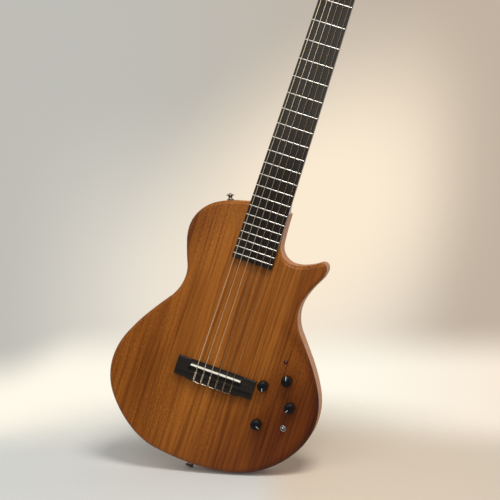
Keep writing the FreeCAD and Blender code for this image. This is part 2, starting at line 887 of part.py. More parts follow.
def make_frets():
    """Nickel frets: a crowned bead on the board and a tang in its slot."""
    half = size.fret_crown_width / 2
    tang = size.fret_tang_width / 2
    crown = fingerboard_top + size.fret_crown_height
    crown_half = size.fret_top_width / 2
    foot = fingerboard_top - size.fret_tang_depth
    frets = []
    for number in range(1, int(size.fret_count) + 1):
        z = -fret_distance(number)
        profile = [
            (foot, z - tang),
            (fingerboard_top, z - tang),
            (fingerboard_top, z - half),
            (crown, z - crown_half),
            (crown, z + crown_half),
            (fingerboard_top, z + half),
            (fingerboard_top, z + tang),
            (foot, z + tang),
        ]
        width = neck_width(-z) - 2 * size.fret_end_inset
        frets.append(extruded_across(profile, width))
    return keep(shape_piece("frets", Part.makeCompound(frets)))


def string_radius(index):
    return size.thickest_string_radius * STRING_RADIUS_SHARES[index]


def spread_across(index, spread):
    """A string's place across a row of strings that is as wide as the spread."""
    return spread * (index / (string_count - 1) - 0.5)


def string_roller(index):
    """The side and the row of the roller that a string is wound on."""
    if index < rollers_per_side:
        return -1, index
    return 1, string_count - 1 - index


def roller_contact(index):
    """The string's place across, where it first meets its roller."""
    side, row = string_roller(index)
    return side * (size.slot_centre + ROLLER_CONTACT_SHARES[row] * size.slot_width)


def winding_radius(index):
    """The radius of the string's centre line on its roller, clear of the turning roller."""
    clear = size.roller_radius + size.end_gap + string_radius(index)
    return clear / math.cos(math.pi / WINDING_STEPS)


def string_points(index):
    """The string's route: tie, hole, saddle, nut and roller."""
    radius = string_radius(index)
    lift = radius + size.running_gap
    tie_x = spread_across(index, size.saddle_string_spread)
    nut_x = spread_across(index, size.nut_string_spread)
    block_front = saddle_z - size.tie_block_end + size.tie_block_depth
    block_back = saddle_z - size.tie_block_end
    over = size.tie_block_height + lift
    points = [
        at(tie_x, over, block_front),
        at(tie_x, over, block_back),
        at(tie_x, over - lift, block_back - lift),
        at(tie_x, size.tie_hole_height + lift, block_back - lift),
        at(tie_x, size.tie_hole_height, block_back),
        at(tie_x, size.tie_hole_height, block_front + lift),
        at(tie_x, saddle_crown + lift,
           saddle_z - size.saddle_thickness / 2 * STRING_CROSSING_SHARE),
        at(nut_x, nut_slot_floor + lift, 0),
    ]
    side, row = string_roller(index)
    contact_x = roller_contact(index)
    centre = head_place.multVec(at(contact_x, -size.roller_depth, roller_along(row)))
    winding = winding_radius(index)
    nut_point = points[-1]
    reach = Vector(0, nut_point.y - centre.y, nut_point.z - centre.z)
    tangent_angle = math.atan2(-reach.y, reach.z) - math.acos(winding / reach.Length)
    step_angle = 2 * math.pi / WINDING_STEPS
    pitch = 2 * radius + size.winding_gap
    for step in range(WINDING_TURNS * WINDING_STEPS + 1):
        angle = tangent_angle - step * step_angle
        drift = pitch * step / WINDING_STEPS * -side
        points.append(Vector(contact_x + drift, centre.y - winding * math.sin(angle),
                             centre.z + winding * math.cos(angle)))
    return points


def faceted_tube(points, radius, facets):
    """A tube of flat facets along straight runs, mitred where they meet."""
    runs = [(b - a).normalize() for a, b in zip(points, points[1:])]
    side = runs[0].cross(Vector(1, 0, 0)).normalize()
    other = runs[0].cross(side)
    turn = 2 * math.pi / facets
    ring = [points[0] + side * (radius * math.cos(turn * k)) + other * (radius * math.sin(turn * k))
            for k in range(facets)]
    rings = [ring]
    for index, run in enumerate(runs):
        corner = points[index + 1]
        normal = run + runs[index + 1] if index + 1 < len(runs) else run
        ring = [p + run * ((corner - p).dot(normal) / run.dot(normal)) for p in ring]
        rings.append(ring)
    faces = [face_of(rings[0]), face_of(rings[-1])]
    for low, high in zip(rings, rings[1:]):
        for k in range(facets):
            n = (k + 1) % facets
            faces.append(face_of([low[k], low[n], high[n], high[k]]))
    return solid_of(faces)


def least_winding_gap(index):
    """The least gap between the turns of a string's winding, measured on points of its line."""
    corners = string_points(index)[-(WINDING_TURNS * WINDING_STEPS + 1):]
    line = [start + (end - start) * (k / GAP_SAMPLES)
            for start, end in zip(corners, corners[1:]) for k in range(GAP_SAMPLES)]
    half_turn = WINDING_STEPS * GAP_SAMPLES // 2
    nearest = min((a - b).Length for k, a in enumerate(line) for b in line[k + half_turn:])
    return nearest - 2 * string_radius(index)


def make_strings():
    """Six strings, tied at the bridge and wound on their rollers."""
    for index in range(string_count):
        tube = faceted_tube(string_points(index), string_radius(index), STRING_FACETS)
        keep(shape_piece(f"string_{string_count - index}", tube))
        print(f"string_{string_count - index} winding gap", round(least_winding_gap(index), 3))


def make_nut():
    """The bone nut, with a groove for each string."""
    front = nut_slot_floor + size.nut_wall_height
    back = nut_slot_floor - size.nut_thickness * math.tan(math.radians(size.head_tilt_angle))
    profile = [(size.neck_rise, 0), (front, 0), (back, size.nut_thickness),
               (size.neck_rise, size.nut_thickness)]
    nut = extruded_across(profile, size.nut_width)
    grooves = []
    for index in range(string_count):
        points = string_points(index)
        tilt = math.atan2(points[7].y - points[8].y, points[8].z - points[7].z)
        radius = string_radius(index) + size.running_gap
        reach = size.nut_thickness * 2
        groove = Part.makeBox(2 * radius, 4 * radius, 2 * reach, Vector(-radius, -3 * radius, -reach))
        turn = math.degrees(math.atan2(points[8].x - points[7].x, points[8].z - points[7].z))
        groove.Placement = Placement(points[7], Rotation(Vector(0, 1, 0), turn)
                                     * Rotation(Vector(1, 0, 0), math.degrees(tilt)))
        grooves.append(groove)
    return keep(shape_piece("nut", nut.cut(grooves)))


def make_bridge():
    """The dark bridge: plain wings, a saddle land and a tie block with six holes."""
    body = new_body("bridge")
    half = size.bridge_width / 2
    centre = size.bridge_centre_width / 2
    front = saddle_z + size.bridge_front
    back = saddle_z - size.bridge_back
    block_end = saddle_z - size.tie_block_end
    block_front = block_end + size.tie_block_depth
    pad(body, "XZ_Plane", rectangle(-half, half, back, front), "sizes.bridge_height")
    pad(body, "XZ_Plane", rectangle(-centre, centre, block_end, block_front),
        "sizes.tie_block_height")
    shelf = rectangle(-centre, centre, front - size.bridge_shelf_depth, front + size.cut_overrun)
    pocket(body, "XZ_Plane", shelf, "sizes.bridge_height - sizes.bridge_shelf_height",
           "sizes.bridge_height")
    valley = rectangle(-centre, centre, block_front, saddle_z - size.valley_start)
    pocket(body, "XZ_Plane", valley, "sizes.bridge_height - sizes.valley_height",
           "sizes.bridge_height")
    slot_half = size.saddle_length / 2 + size.running_gap
    slot_deep = size.saddle_thickness / 2 + size.running_gap
    slot = rectangle(-slot_half, slot_half, saddle_z - slot_deep, saddle_z + slot_deep)
    pocket(body, "XZ_Plane", slot, "sizes.bridge_height - sizes.saddle_slot_floor",
           "sizes.bridge_height")
    holes = []
    for index in range(string_count):
        x = spread_across(index, size.saddle_string_spread)
        holes += hole_edges(x, -size.tie_hole_height, size.tie_hole_radius, HIDDEN_SIDES)
    pocket(body, "XY_Plane", holes, "sizes.tie_block_depth + sizes.cut_overrun",
           "-sizes.scale_length - sizes.tie_block_end + sizes.tie_block_depth")
    level = size.bridge_height
    rims = edge_names(body.Shape, lambda p: abs(p.y + level) < TOUCH
                      and (abs(abs(p.x) - half) < TOUCH
                           or abs(p.x) > centre - TOUCH and (abs(p.z - front) < TOUCH
                                                            or abs(p.z - back) < TOUCH)))
    round_edges(body, "Chamfer", rims, "sizes.bridge_chamfer")
    return keep(body)


def make_saddle():
    """The white saddle, crowned under the strings, and the pickup strip under it."""
    half = size.saddle_thickness / 2
    foot = size.saddle_slot_floor + size.pickup_thickness
    profile = [(foot, saddle_z - half), (foot, saddle_z + half)]
    profile += [(saddle_crown - drop * half, saddle_z + along * half)
                for drop, along in SADDLE_CROWN_SHARES]
    keep(shape_piece("saddle", extruded_across(profile, size.saddle_length)))
    strip = doc.addObject("Part::Box", "saddle_pickup")
    strip.setExpression("Length", "sizes.saddle_length")
    strip.setExpression("Width", "sizes.pickup_thickness")
    strip.setExpression("Height", "sizes.saddle_thickness")
    strip.setExpression("Placement.Base.x", "-sizes.saddle_length / 2")
    strip.setExpression("Placement.Base.y", "-sizes.saddle_slot_floor - sizes.pickup_thickness")
    strip.setExpression("Placement.Base.z", "-sizes.scale_length - sizes.saddle_thickness / 2")
    keep(strip)


def gear_wheel():
    """A flat gear about Z, centred, with a tooth on its +X side."""
    teeth = int(size.gear_teeth)
    pitch_radius = size.gear_module * teeth / 2
    tip = pitch_radius + GEAR_TIP_HEIGHT_SHARE * size.gear_module
    root = pitch_radius - GEAR_ROOT_DEPTH_SHARE * size.gear_module
    corners = [(root, -GEAR_FOOT_SHARE), (tip, -TOOTH_TIP_SHARE), (tip, TOOTH_TIP_SHARE),
               (root, GEAR_FOOT_SHARE)]
    points = []
    for tooth in range(teeth):
        middle = 2 * math.pi * tooth / teeth
        for radius, half in corners:
            angle = middle + half * size.gear_module / radius
            points.append(Vector(radius * math.cos(angle), radius * math.sin(angle), 0))
    face = Part.Face(Part.makePolygon(points + points[:1]))
    wheel = face.extrude(Vector(0, 0, size.gear_width))
    wheel.translate(Vector(0, 0, -size.gear_width / 2))
    return wheel


def worm_thread():
    """A helical thread about Z, centred, in flat facets, with a groove on its -X side."""
    lead = math.pi * size.gear_module
    steps_per_turn = WORM_SIDES
    count = int(size.worm_turns * steps_per_turn)
    inner = size.worm_root_radius * THREAD_FOOT_SHARE
    outer = size.worm_radius
    start = -size.worm_turns / 2
    corners = [(inner, -WORM_FOOT_SHARE), (outer, -TOOTH_TIP_SHARE), (outer, TOOTH_TIP_SHARE),
               (inner, WORM_FOOT_SHARE)]
    sections = []
    for step in range(count + 1):
        turns = start + step / steps_per_turn
        angle = 2 * math.pi * turns
        height = lead * turns
        sections.append([Vector(radius * math.cos(angle), radius * math.sin(angle),
                                height + half * size.gear_module) for radius, half in corners])
    faces = [face_of(sections[0]), face_of(sections[-1])]
    for low, high in zip(sections, sections[1:]):
        for k in range(len(corners)):
            n = (k + 1) % len(corners)
            faces.append(face_of([low[k], low[n], high[n]]))
            faces.append(face_of([low[k], high[n], high[k]]))
    return solid_of(faces)


def worm_distance():
    """The distance between a worm's axis and its gear's."""
    pitch_radius = size.gear_module * size.gear_teeth / 2
    return pitch_radius + size.worm_radius - WORM_REACH_SHARE * size.gear_module


def gear_across():
    """The gear's middle plane, out from the guitar's centre."""
    return size.head_width / 2 + size.plate_thickness + size.gear_standoff


def plate_screw_places():
    """Screws at both ends of a plate."""
    first = roller_along(0) - size.plate_margin + size.plate_screw_inset
    last = roller_along(rollers_per_side - 1) + size.plate_end - size.plate_screw_inset
    return [first, last]


def make_tuner_plate(side, label):
    """A side plate of the tuning machines, with two lugs for each worm shaft."""
    inner = size.head_width / 2
    outer = inner + size.plate_thickness
    low = roller_along(0) - size.plate_margin
    high = roller_along(rollers_per_side - 1) + size.plate_end
    middle = -size.roller_depth
    plate = box_between(at(inner, middle - size.plate_width / 2, low),
                        at(outer, middle + size.plate_width / 2, high))
    adds = []
    cuts = []
    for row in range(rollers_per_side):
        along = roller_along(row)
        worm = along + worm_distance()
        for way in (-1, 1):
            near = middle + way * size.lug_gap / 2
            far = middle + way * (size.lug_gap / 2 + size.lug_thickness)
            adds.append(box_between(at(outer, near, worm - size.lug_width / 2),
                                    at(outer + size.lug_reach, far, worm + size.lug_width / 2)))
        length = size.lug_gap + 4 * size.lug_thickness
        cuts.append(hole_through(size.worm_shaft_radius, length,
                                 at(gear_across(), middle + length / 2, worm), Vector(0, 1, 0)))
        cuts.append(hole_through(size.roller_pin_radius, size.plate_thickness * 3,
                                 at(inner - size.plate_thickness, middle, along),
                                 Vector(1, 0, 0)))
    for along in plate_screw_places():
        cuts.append(hole_through(size.machine_screw_radius, size.plate_thickness * 3,
                                 at(inner - size.plate_thickness, middle, along),
                                 Vector(1, 0, 0)))
    shape = plate.fuse(adds).removeSplitter().cut(cuts)
    if side < 0:
        shape = shape.mirror(Vector(), Vector(1, 0, 0))
    return keep(shape_piece(label, shape, head_place))


def make_tuner_screws():
    """The small screws that hold both side plates."""
    screws = []
    outer = size.head_width / 2 + size.plate_thickness
    head = size.machine_screw_head_radius
    shank = size.machine_screw_radius
    top = size.machine_screw_head_height
    length = size.machine_screw_length
    profile = [(0, -length), (shank, -length), (shank, 0), (head, 0),
               (head * SCREW_CROWN_SHARE, top), (0, top)]
    for side in (-1, 1):
        for along in plate_screw_places():
            screw = turned_shape(profile, HIDDEN_SIDES)
            screw.Placement = head_place * Placement(
                at(side * outer, -size.roller_depth, along), Rotation(Vector(0, 1, 0), side * 90))
            screws.append(screw)
    return keep(shape_piece("tuner_screws", Part.makeCompound(screws)))


def make_roller(side, row, label):
    """A string roller: a capstan in the slot, carried at both ends, with its gear outside."""
    slot_inner = size.slot_centre - size.slot_width / 2 + size.end_gap
    slot_outer = size.slot_centre + size.slot_width / 2 - size.end_gap
    start = slot_inner - size.roller_pin_length
    end = gear_across() + size.gear_width / 2 + size.plate_thickness
    pin = size.roller_pin_radius
    profile = [(0, start), (pin, start), (pin, slot_inner), (size.roller_radius, slot_inner),
               (size.roller_radius, slot_outer), (pin, slot_outer), (pin, end), (0, end)]
    wheel = gear_wheel()
    wheel.translate(Vector(0, 0, gear_across()))
    wheel.rotate(Vector(), Vector(0, 0, 1), 180 if side > 0 else 0)
    roller = turned_shape(profile, ROLLER_SIDES).fuse(wheel).removeSplitter()
    place = head_place * Placement(at(0, -size.roller_depth, roller_along(row)),
                                   Rotation(Vector(0, 1, 0), side * 90))
    return keep(shape_piece(label, roller, place))


def make_tuner_key(side, row, number):
    """A worm shaft in its two lugs, and the button on its back end."""
    lug_end = size.lug_gap / 2 + size.lug_thickness
    collar = lug_end + size.end_gap
    front = collar + size.collar_thickness
    shaft = size.worm_shaft_radius
    end = size.button_start + size.button_socket
    core_half = size.lug_gap / 2 - size.end_gap
    core = prism(size.worm_root_radius, WORM_SIDES, 2 * core_half, Vector(0, 0, -core_half),
                 Vector(0, 0, 1))
    profile = [(0, -front), (size.collar_radius, -front), (size.collar_radius, -collar),
               (shaft, -collar), (shaft, end), (0, end)]
    worm = turned_shape(profile, WORM_SIDES).fuse([core, worm_thread()]).removeSplitter()
    centre = at(side * gear_across(), -size.roller_depth, roller_along(row) + worm_distance())
    place = head_place * Placement(centre, Rotation(Vector(1, 0, 0), -90)
                                   * Rotation(Vector(0, 0, 1), -90))
    keep(shape_piece(f"worm_shaft_{number}", worm, place))
    return centre


def make_tuner_button(side, row, number):
    """An oval button, chamfered round both faces and pressed on its shaft."""
    body = new_body(f"tuner_button_{number}")
    middle = size.button_start + size.button_length / 2
    turns = [2 * math.pi * (k + 0.5) / SMALL_SIDES for k in range(SMALL_SIDES)]
    oval = [(size.button_length / 2 * math.cos(a), size.button_width / 2 * math.sin(a))
            for a in turns]
    pad(body, "XY_Plane", polygon(oval), "sizes.button_thickness", "-sizes.button_thickness / 2")
    level = size.button_thickness / 2
    rims = edge_names(body.Shape, lambda p: abs(abs(p.z) - level) < TOUCH)
    round_edges(body, "Chamfer", rims, "sizes.button_chamfer")
    socket = hole_edges(0, 0, size.worm_shaft_radius + size.running_gap, HIDDEN_SIDES)
    pocket(body, "YZ_Plane", socket, "sizes.button_socket + sizes.cut_overrun",
           "-sizes.button_length / 2 - sizes.cut_overrun", reverse=True)
    centre = at(side * gear_across(), -size.roller_depth - middle,
                roller_along(row) + worm_distance())
    turn = Rotation(Vector(0, 0, 1), 90) * Rotation(Vector(1, 0, 0), 90)
    body.Placement = head_place * Placement(centre, turn)
    return keep(body)


def make_tuners():
    make_tuner_plate(-1, "tuner_plate_bass")
    make_tuner_plate(1, "tuner_plate_treble")
    make_tuner_screws()
    for index in range(string_count):
        side, row = string_roller(index)
        number = string_count - index
        make_roller(side, row, f"string_roller_{number}")
        make_tuner_key(side, row, number)
        make_tuner_button(side, row, number)


def make_controls():
    """Potentiometers, their shafts, nuts and knobs."""
    base = -size.top_thickness
    can_low = base - size.pot_height
    bore = clear_radius(size.shaft_radius + size.running_gap, HIDDEN_SIDES)
    pot_profile = [
        (0, can_low), (size.pot_radius, can_low), (size.pot_radius, base),
        (size.bushing_radius, base), (size.bushing_radius, size.bushing_top),
        (bore, size.bushing_top), (bore, base), (0, base),
    ]
    shaft_profile = [(0, base + size.running_gap), (size.shaft_radius, base + size.running_gap),
                     (size.shaft_radius, size.shaft_top), (0, size.shaft_top)]
    top = size.knob_gap + size.knob_height
    socket = clear_radius(size.shaft_radius + size.running_gap, SHOWN_SIDES)
    recess = clear_radius(size.nut_flats / 2, HEXAGON) + size.end_gap
    recess_top = size.bushing_top + size.end_gap
    knob_profile = [
        (recess, size.knob_gap), (size.knob_radius, size.knob_gap),
        (size.knob_top_radius, top - size.knob_dome),
        (size.knob_top_radius - size.knob_dome, top), (0, top),
        (0, size.shaft_top), (socket, size.shaft_top), (socket, recess_top), (recess, recess_top),
    ]
    pots = []
    for name in KNOBS:
        place = outward(*control_point(name))
        can = turned_shape(pot_profile, HIDDEN_SIDES)
        can.Placement = place
        pots.append(can)
        keep(turned_piece(f"{name}_shaft", shaft_profile, SMALL_SIDES, place))
        keep(turned_piece(f"{name}_knob", knob_profile, SHOWN_SIDES, place))
    keep(shape_piece("potentiometers", Part.makeCompound(pots)))


def hexagon_nut(flats, bore, height, place):
    """A hexagonal nut standing on the face."""
    radius = clear_radius(flats / 2, HEXAGON)
    turns = [2 * math.pi * k / HEXAGON for k in range(HEXAGON + 1)]
    corners = [Vector(radius * math.cos(a), radius * math.sin(a), 0) for a in turns]
    nut = Part.Face(Part.makePolygon(corners)).extrude(Vector(0, 0, height))
    nut = nut.cut(hole_through(bore, height * 3, Vector(0, 0, -height), Vector(0, 0, 1)))
    nut.Placement = place
    return nut


def make_mounting_nuts():
    """The nuts that hold the potentiometers and the switch to the soundboard."""
    nuts = [hexagon_nut(size.nut_flats, size.bushing_radius, size.nut_height,
                        outward(*control_point(name))) for name in KNOBS]
    nuts.append(hexagon_nut(size.switch_nut_flats, size.switch_bushing_radius, size.nut_height,
                            outward(*control_point("switch"))))
    return keep(shape_piece("mounting_nuts", Part.makeCompound(nuts)))


def make_switch():
    """The toggle switch: a case under the soundboard, a bushing, and the lever in it."""
    place = outward(*control_point("switch"))
    base = -size.top_thickness
    half = size.switch_case_width / 2
    case = box_between(Vector(-half, -half, base - size.switch_case_height),
                       Vector(half, half, base))
    bushing = turned_shape([
        (0, base), (size.switch_bushing_radius, base),
        (size.switch_bushing_radius, size.switch_bushing_top),
        (size.switch_bore_radius, size.switch_bushing_top),
        (size.switch_bore_radius, base / 2), (0, base / 2),
    ], SMALL_SIDES)
    keep(shape_piece("switch_body", case.fuse(bushing).removeSplitter(), place))
    tip = size.lever_tip_radius
    end = size.lever_length
    profile = [(r * tip, h * tip) for r, h in LEVER_BALL_SHARES]
    profile += [(size.lever_radius, tip), (size.lever_radius, end - size.lever_tip_length)]
    profile += [(r * tip, end + h * tip) for r, h in LEVER_TIP_SHARES]
    lean = Placement(Vector(), Rotation(Vector(1, 0, 0), -size.lever_tilt_angle))
    keep(turned_piece("switch_lever", profile, HIDDEN_SIDES, place * lean))


def make_lens():
    """The red indicator lens, flanged under the soundboard."""
    base = -size.top_thickness
    profile = [(0, base), (size.lens_radius, base), (size.lens_radius, size.lens_rim_height),
               (size.lens_top_radius, size.lens_height), (0, size.lens_height)]
    return keep(turned_piece("indicator_lens", profile, SMALL_SIDES,
                             outward(*control_point("lens"))))


def make_preamp_board():
    """The circuit board that carries the potentiometers from below."""
    body = new_body("preamp_board")
    outline = rounded(control_points(), size.board_margin)
    pad(body, "XZ_Plane", curves_of(outline), "sizes.board_thickness",
        "-sizes.top_thickness - sizes.pot_height - sizes.board_thickness")
    return keep(body)


def make_cavity_cover():
    """The plate over the control cavity, flush with the back, and its screws."""
    body = new_body("cavity_cover")
    outline = rounded(control_points(), size.cavity_margin + size.cover_ledge - size.glue_gap)
    pad(body, "XZ_Plane", curves_of(outline), "sizes.cover_thickness",
        "-sizes.top_thickness - sizes.core_thickness")
    shank = size.machine_screw_radius
    holes = []
    for x, z in cover_screw_points():
        holes += hole_edges(x, z, shank + size.running_gap, HIDDEN_SIDES)
    pocket(body, "XZ_Plane", holes, "sizes.cover_thickness + 2 * sizes.cut_overrun",
           "-sizes.top_thickness - sizes.core_thickness + sizes.cover_thickness + sizes.cut_overrun")
    keep(body)
    head = size.cover_screw_head_radius
    top = size.cover_screw_head_height
    profile = [(0, top), (head * SCREW_CROWN_SHARE, top), (head, 0), (shank, 0),
               (shank, -size.cover_screw_length), (0, -size.cover_screw_length)]
    screws = []
    for x, z in cover_screw_points():
        screw = turned_shape(profile, HIDDEN_SIDES)
        screw.Placement = Placement(at(x, back_out, z), Rotation(Vector(1, 0, 0), -90))
        screws.append(screw)
    return keep(shape_piece("cover_screws", Part.makeCompound(screws)))


def battery_centre():
    """The battery's place across the guitar and along it."""
    point = body_point(*BATTERY_SHARES)
    return point.x, point.y


def battery_box_edges(gap):
    """The battery box's walls as seen from the back, grown by a gap."""
    half_x = size.battery_length / 2 + size.battery_room + size.battery_box_wall + gap
    half_z = size.battery_width / 2 + size.battery_room + size.battery_box_wall + gap
    x, z = battery_centre()
    return rectangle(x - half_x, x + half_x, z - half_z, z + half_z)


def make_battery_box():
    """The battery box, its flange on the back, the battery in it and the hinged door."""
    x, z = battery_centre()
    wall = size.battery_box_wall
    room_x = size.battery_length / 2 + size.battery_room
    room_z = size.battery_width / 2 + size.battery_room
    floor = back_out + size.battery_height
    flange = size.battery_flange
    rim = back_out - size.battery_flange_thickness
    outer = box_between(at(x - room_x - wall, back_out, z - room_z - wall),
                        at(x + room_x + wall, floor + wall, z + room_z + wall))
    plate = box_between(at(x - room_x - wall - flange, back_out, z - room_z - wall - flange),
                        at(x + room_x + wall + flange, rim, z + room_z + wall + flange))
    inner = box_between(at(x - room_x, floor, z - room_z), at(x + room_x, rim - wall, z + room_z))
    gap = size.door_gap
    pin = size.door_pin_radius
    seat_x = room_x + wall / 2
    seat_z = room_z + wall / 2
    seat = box_between(at(x - seat_x, back_out, z - seat_z), at(x + seat_x, rim - wall, z + seat_z))
    hinge_z = z + seat_z - pin - gap
    hinge_out = back_out - pin - size.running_gap * 2
    pin_hole = hole_through(pin, 2 * (seat_x + size.door_pin_length + gap),
                            at(x - seat_x - size.door_pin_length - gap, hinge_out, hinge_z),
                            Vector(1, 0, 0))
    keep(shape_piece("battery_box", outer.fuse(plate).cut([inner, seat, pin_hole])))
    battery = doc.addObject("Part::Box", "battery")
    battery.setExpression("Length", "sizes.battery_length")
    battery.setExpression("Width", "sizes.battery_height - sizes.end_gap")
    battery.setExpression("Height", "sizes.battery_width")
    battery.Placement = Placement(
        at(x - size.battery_length / 2, floor, z - size.battery_width / 2 - size.battery_room),
        Rotation())
    keep(battery)
    half = seat_x - gap
    leaf = box_between(at(x - half, back_out - 2 * size.running_gap, hinge_z),
                       at(x + half, back_out - 2 * size.running_gap - 2 * pin, z - seat_z + gap))
    reach = half + size.door_pin_length
    pins = prism(pin, HIDDEN_SIDES, 2 * reach, at(x - reach, hinge_out, hinge_z), Vector(1, 0, 0))
    keep(shape_piece("battery_door", leaf.fuse(pins).removeSplitter()))


def make_output_jack():
    """The jack inside the tail, and the strap ring screwed on its neck."""
    bore = size.jack_bore_radius
    neck = size.jack_neck_length
    profile = [(0, -neck), (size.jack_neck_radius, -neck), (size.jack_neck_radius, 0),
               (size.jack_radius, 0), (size.jack_radius, size.jack_length), (0, size.jack_length)]
    tail = Placement(at(0, -size.jack_depth, tail_z), Rotation())
    barrel = turned_shape(profile, SMALL_SIDES)
    hollow = cylinder(bore, neck + size.jack_length, Vector(0, 0, -neck), Vector(0, 0, 1))
    keep(shape_piece("output_jack", barrel.cut(hollow), tail))
    end = -size.ring_length
    waist = -size.ring_flange_thickness
    mouth = bore + size.end_gap
    thread = clear_radius(size.jack_neck_radius + size.running_gap, SMALL_SIDES)
    ring = [
        (thread, 0), (size.ring_flange_radius, 0),
        (size.ring_flange_radius, waist), (size.ring_waist_radius, waist),
        (size.ring_waist_radius, end + size.ring_head_thickness),
        (size.ring_head_radius, end + size.ring_head_thickness), (size.ring_head_radius, end),
        (mouth, end), (mouth, -neck), (thread, -neck),
    ]
    keep(turned_piece("strap_ring", ring, SMALL_SIDES, tail))


def make_strap_button():
    """The strap button on the bass shoulder, with its screw."""
    flange = size.strap_flange_thickness
    top = size.strap_button_length
    hole = clear_radius(size.strap_screw_radius + size.running_gap, SMALL_SIDES)
    button = turned_shape([
        (hole, 0), (size.strap_flange_radius, 0), (size.strap_flange_radius, flange),
        (size.strap_waist_radius, flange), (size.strap_waist_radius, top - size.strap_head_thickness),
        (size.strap_head_radius, top - size.strap_head_thickness * STRAP_HEAD_RIM_SHARE),
        (size.strap_head_radius, top), (hole, top),
    ], SMALL_SIDES)
    head = size.strap_screw_head_radius
    screw = turned_shape([
        (0, top + size.strap_screw_head_height),
        (head * SCREW_CROWN_SHARE, top + size.strap_screw_head_height),
        (head, top), (size.strap_screw_radius, top),
        (size.strap_screw_radius, -size.strap_screw_length), (0, -size.strap_screw_length),
    ], HIDDEN_SIDES)
    return keep(shape_piece("upper_strap_button", Part.makeCompound([button, screw]),
                            strap_button_frame()))


def check_and_write():
    """Recompute, test every object, and write one file for each sub-part."""
    doc.recompute()
    failed = [item.Label for item in doc.Objects
              if "Invalid" in item.State or "Error" in item.State]
    for piece in pieces:
        if piece.Shape.isNull() or not piece.Shape.isValid() or not piece.Shape.Solids:
            failed.append(piece.Label)
    if failed:
        raise ValueError("failed: " + ", ".join(failed))
    os.makedirs("parts", exist_ok=True)
    for piece in pieces:
        piece.Shape.exportStep(f"parts/{piece.Label}.step")
        print(piece.Label, len(piece.Shape.Solids), round(piece.Shape.Volume, 1))
    print(len(pieces), "sub-parts")


make_body_core()
make_soundboard()
make_neck()
make_headplate()
make_truss_rod()
make_fingerboard()
make_frets()
make_nut()
make_bridge()
make_saddle()
make_strings()
make_tuners()
make_controls()
make_mounting_nuts()
make_switch()
make_lens()
make_preamp_board()
make_cavity_cover()
make_battery_box()
make_output_jack()
make_strap_button()
check_and_write()
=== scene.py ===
"""Looks of a thin acoustic-electric classical guitar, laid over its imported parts.

The frame is the guitar's own: X across it to the treble side, Z up its neck, and its face
looks along -Y. The scene is in metres, and mm() takes points written in millimetres.
"""

import functools
import math

import bmesh
import bpy
from mathutils import Matrix, Vector


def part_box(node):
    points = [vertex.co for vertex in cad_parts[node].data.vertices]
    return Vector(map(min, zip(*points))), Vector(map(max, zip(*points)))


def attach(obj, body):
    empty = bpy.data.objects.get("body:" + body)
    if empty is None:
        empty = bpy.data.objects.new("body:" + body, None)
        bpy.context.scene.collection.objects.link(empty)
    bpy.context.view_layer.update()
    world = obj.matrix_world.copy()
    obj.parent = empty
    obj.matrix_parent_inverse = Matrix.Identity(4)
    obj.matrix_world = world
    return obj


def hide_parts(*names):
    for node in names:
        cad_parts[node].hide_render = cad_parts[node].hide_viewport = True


bl_info = {
    "name": "Classical guitar looks",
    "version": (1, 0, 0),
    "blender": (4, 5, 0),
    "location": "View3D > Sidebar > Guitar",
    "description": "Builds the visible pieces, finishes and stage of a classical guitar",
    "category": "Object",
}

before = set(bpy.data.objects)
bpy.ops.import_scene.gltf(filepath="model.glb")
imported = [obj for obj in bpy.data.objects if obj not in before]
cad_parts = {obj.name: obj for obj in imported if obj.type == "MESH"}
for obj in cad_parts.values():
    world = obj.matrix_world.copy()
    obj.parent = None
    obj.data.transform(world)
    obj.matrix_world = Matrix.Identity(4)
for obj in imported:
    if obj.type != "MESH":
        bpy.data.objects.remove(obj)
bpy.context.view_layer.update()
MM = 0.001
DOUBLES = 0.002 * MM
SLIVERS = 0.02 * MM
OUT = Vector((0, -1, 0))


def length(name, description, value):
    return bpy.props.FloatProperty(name=name, description=description, default=value * MM,
                                   min=0.0, unit="LENGTH")


def colour(name, description, value):
    return bpy.props.FloatVectorProperty(
        name=name, description=description, subtype="COLOR", size=3, min=0.0, max=1.0,
        default=value)


class GuitarSizes(bpy.types.PropertyGroup):
    """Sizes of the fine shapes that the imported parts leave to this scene."""

    body_round: length("Body rounding", "Run of the round on each side of the body's rims", 2.3)
    wood_edge: length("Wood edge", "Rounding of the bridge and the headstock's face", 0.5)
    bone_edge: length("Bone edge", "Rounding of the nut and the saddle", 0.35)
    cover_edge: length("Cover edge", "Rounding of the cover and the battery's box and door", 0.25)
    pointer_width: length("Pointer width", "Width of the white line on each knob", 0.9)
    slot_width: length("Screw slot", "Width of the slot in a screw's head", 0.6)
    string_turns: bpy.props.IntProperty(
        name="String turns", description="Turns of each string round its roller", default=3, min=1)


class GuitarColours(bpy.types.PropertyGroup):
    """Colours that a user would change, in linear values."""

    top_pale: colour("Top, pale grain", "Pale streaks of the soundboard", (0.49, 0.170, 0.023))
    top_dark: colour("Top, dark grain", "Dark streaks of the soundboard", (0.20, 0.055, 0.005))
    core_pale: colour("Core, pale grain", "Pale streaks of the back and sides", (0.54, 0.225, 0.070))
    core_dark: colour("Core, dark grain", "Dark streaks of the back and sides", (0.34, 0.14, 0.05))
    neck_pale: colour("Neck, pale grain", "Pale streaks of the neck", (0.33, 0.13, 0.055))
    neck_dark: colour("Neck, dark grain", "Dark streaks of the neck", (0.16, 0.052, 0.02))
    board_pale: colour("Ebony, pale grain", "Pale streaks of the dark wood", (0.030, 0.023, 0.019))
    board_dark: colour("Ebony, dark grain", "Dark streaks of the dark wood", (0.007, 0.006, 0.005))


def sizes():
    return bpy.context.scene.guitar_sizes


def mm(*points):
    """Points given in millimetres, in metres."""
    return [tuple(value * MM for value in point) for point in points]


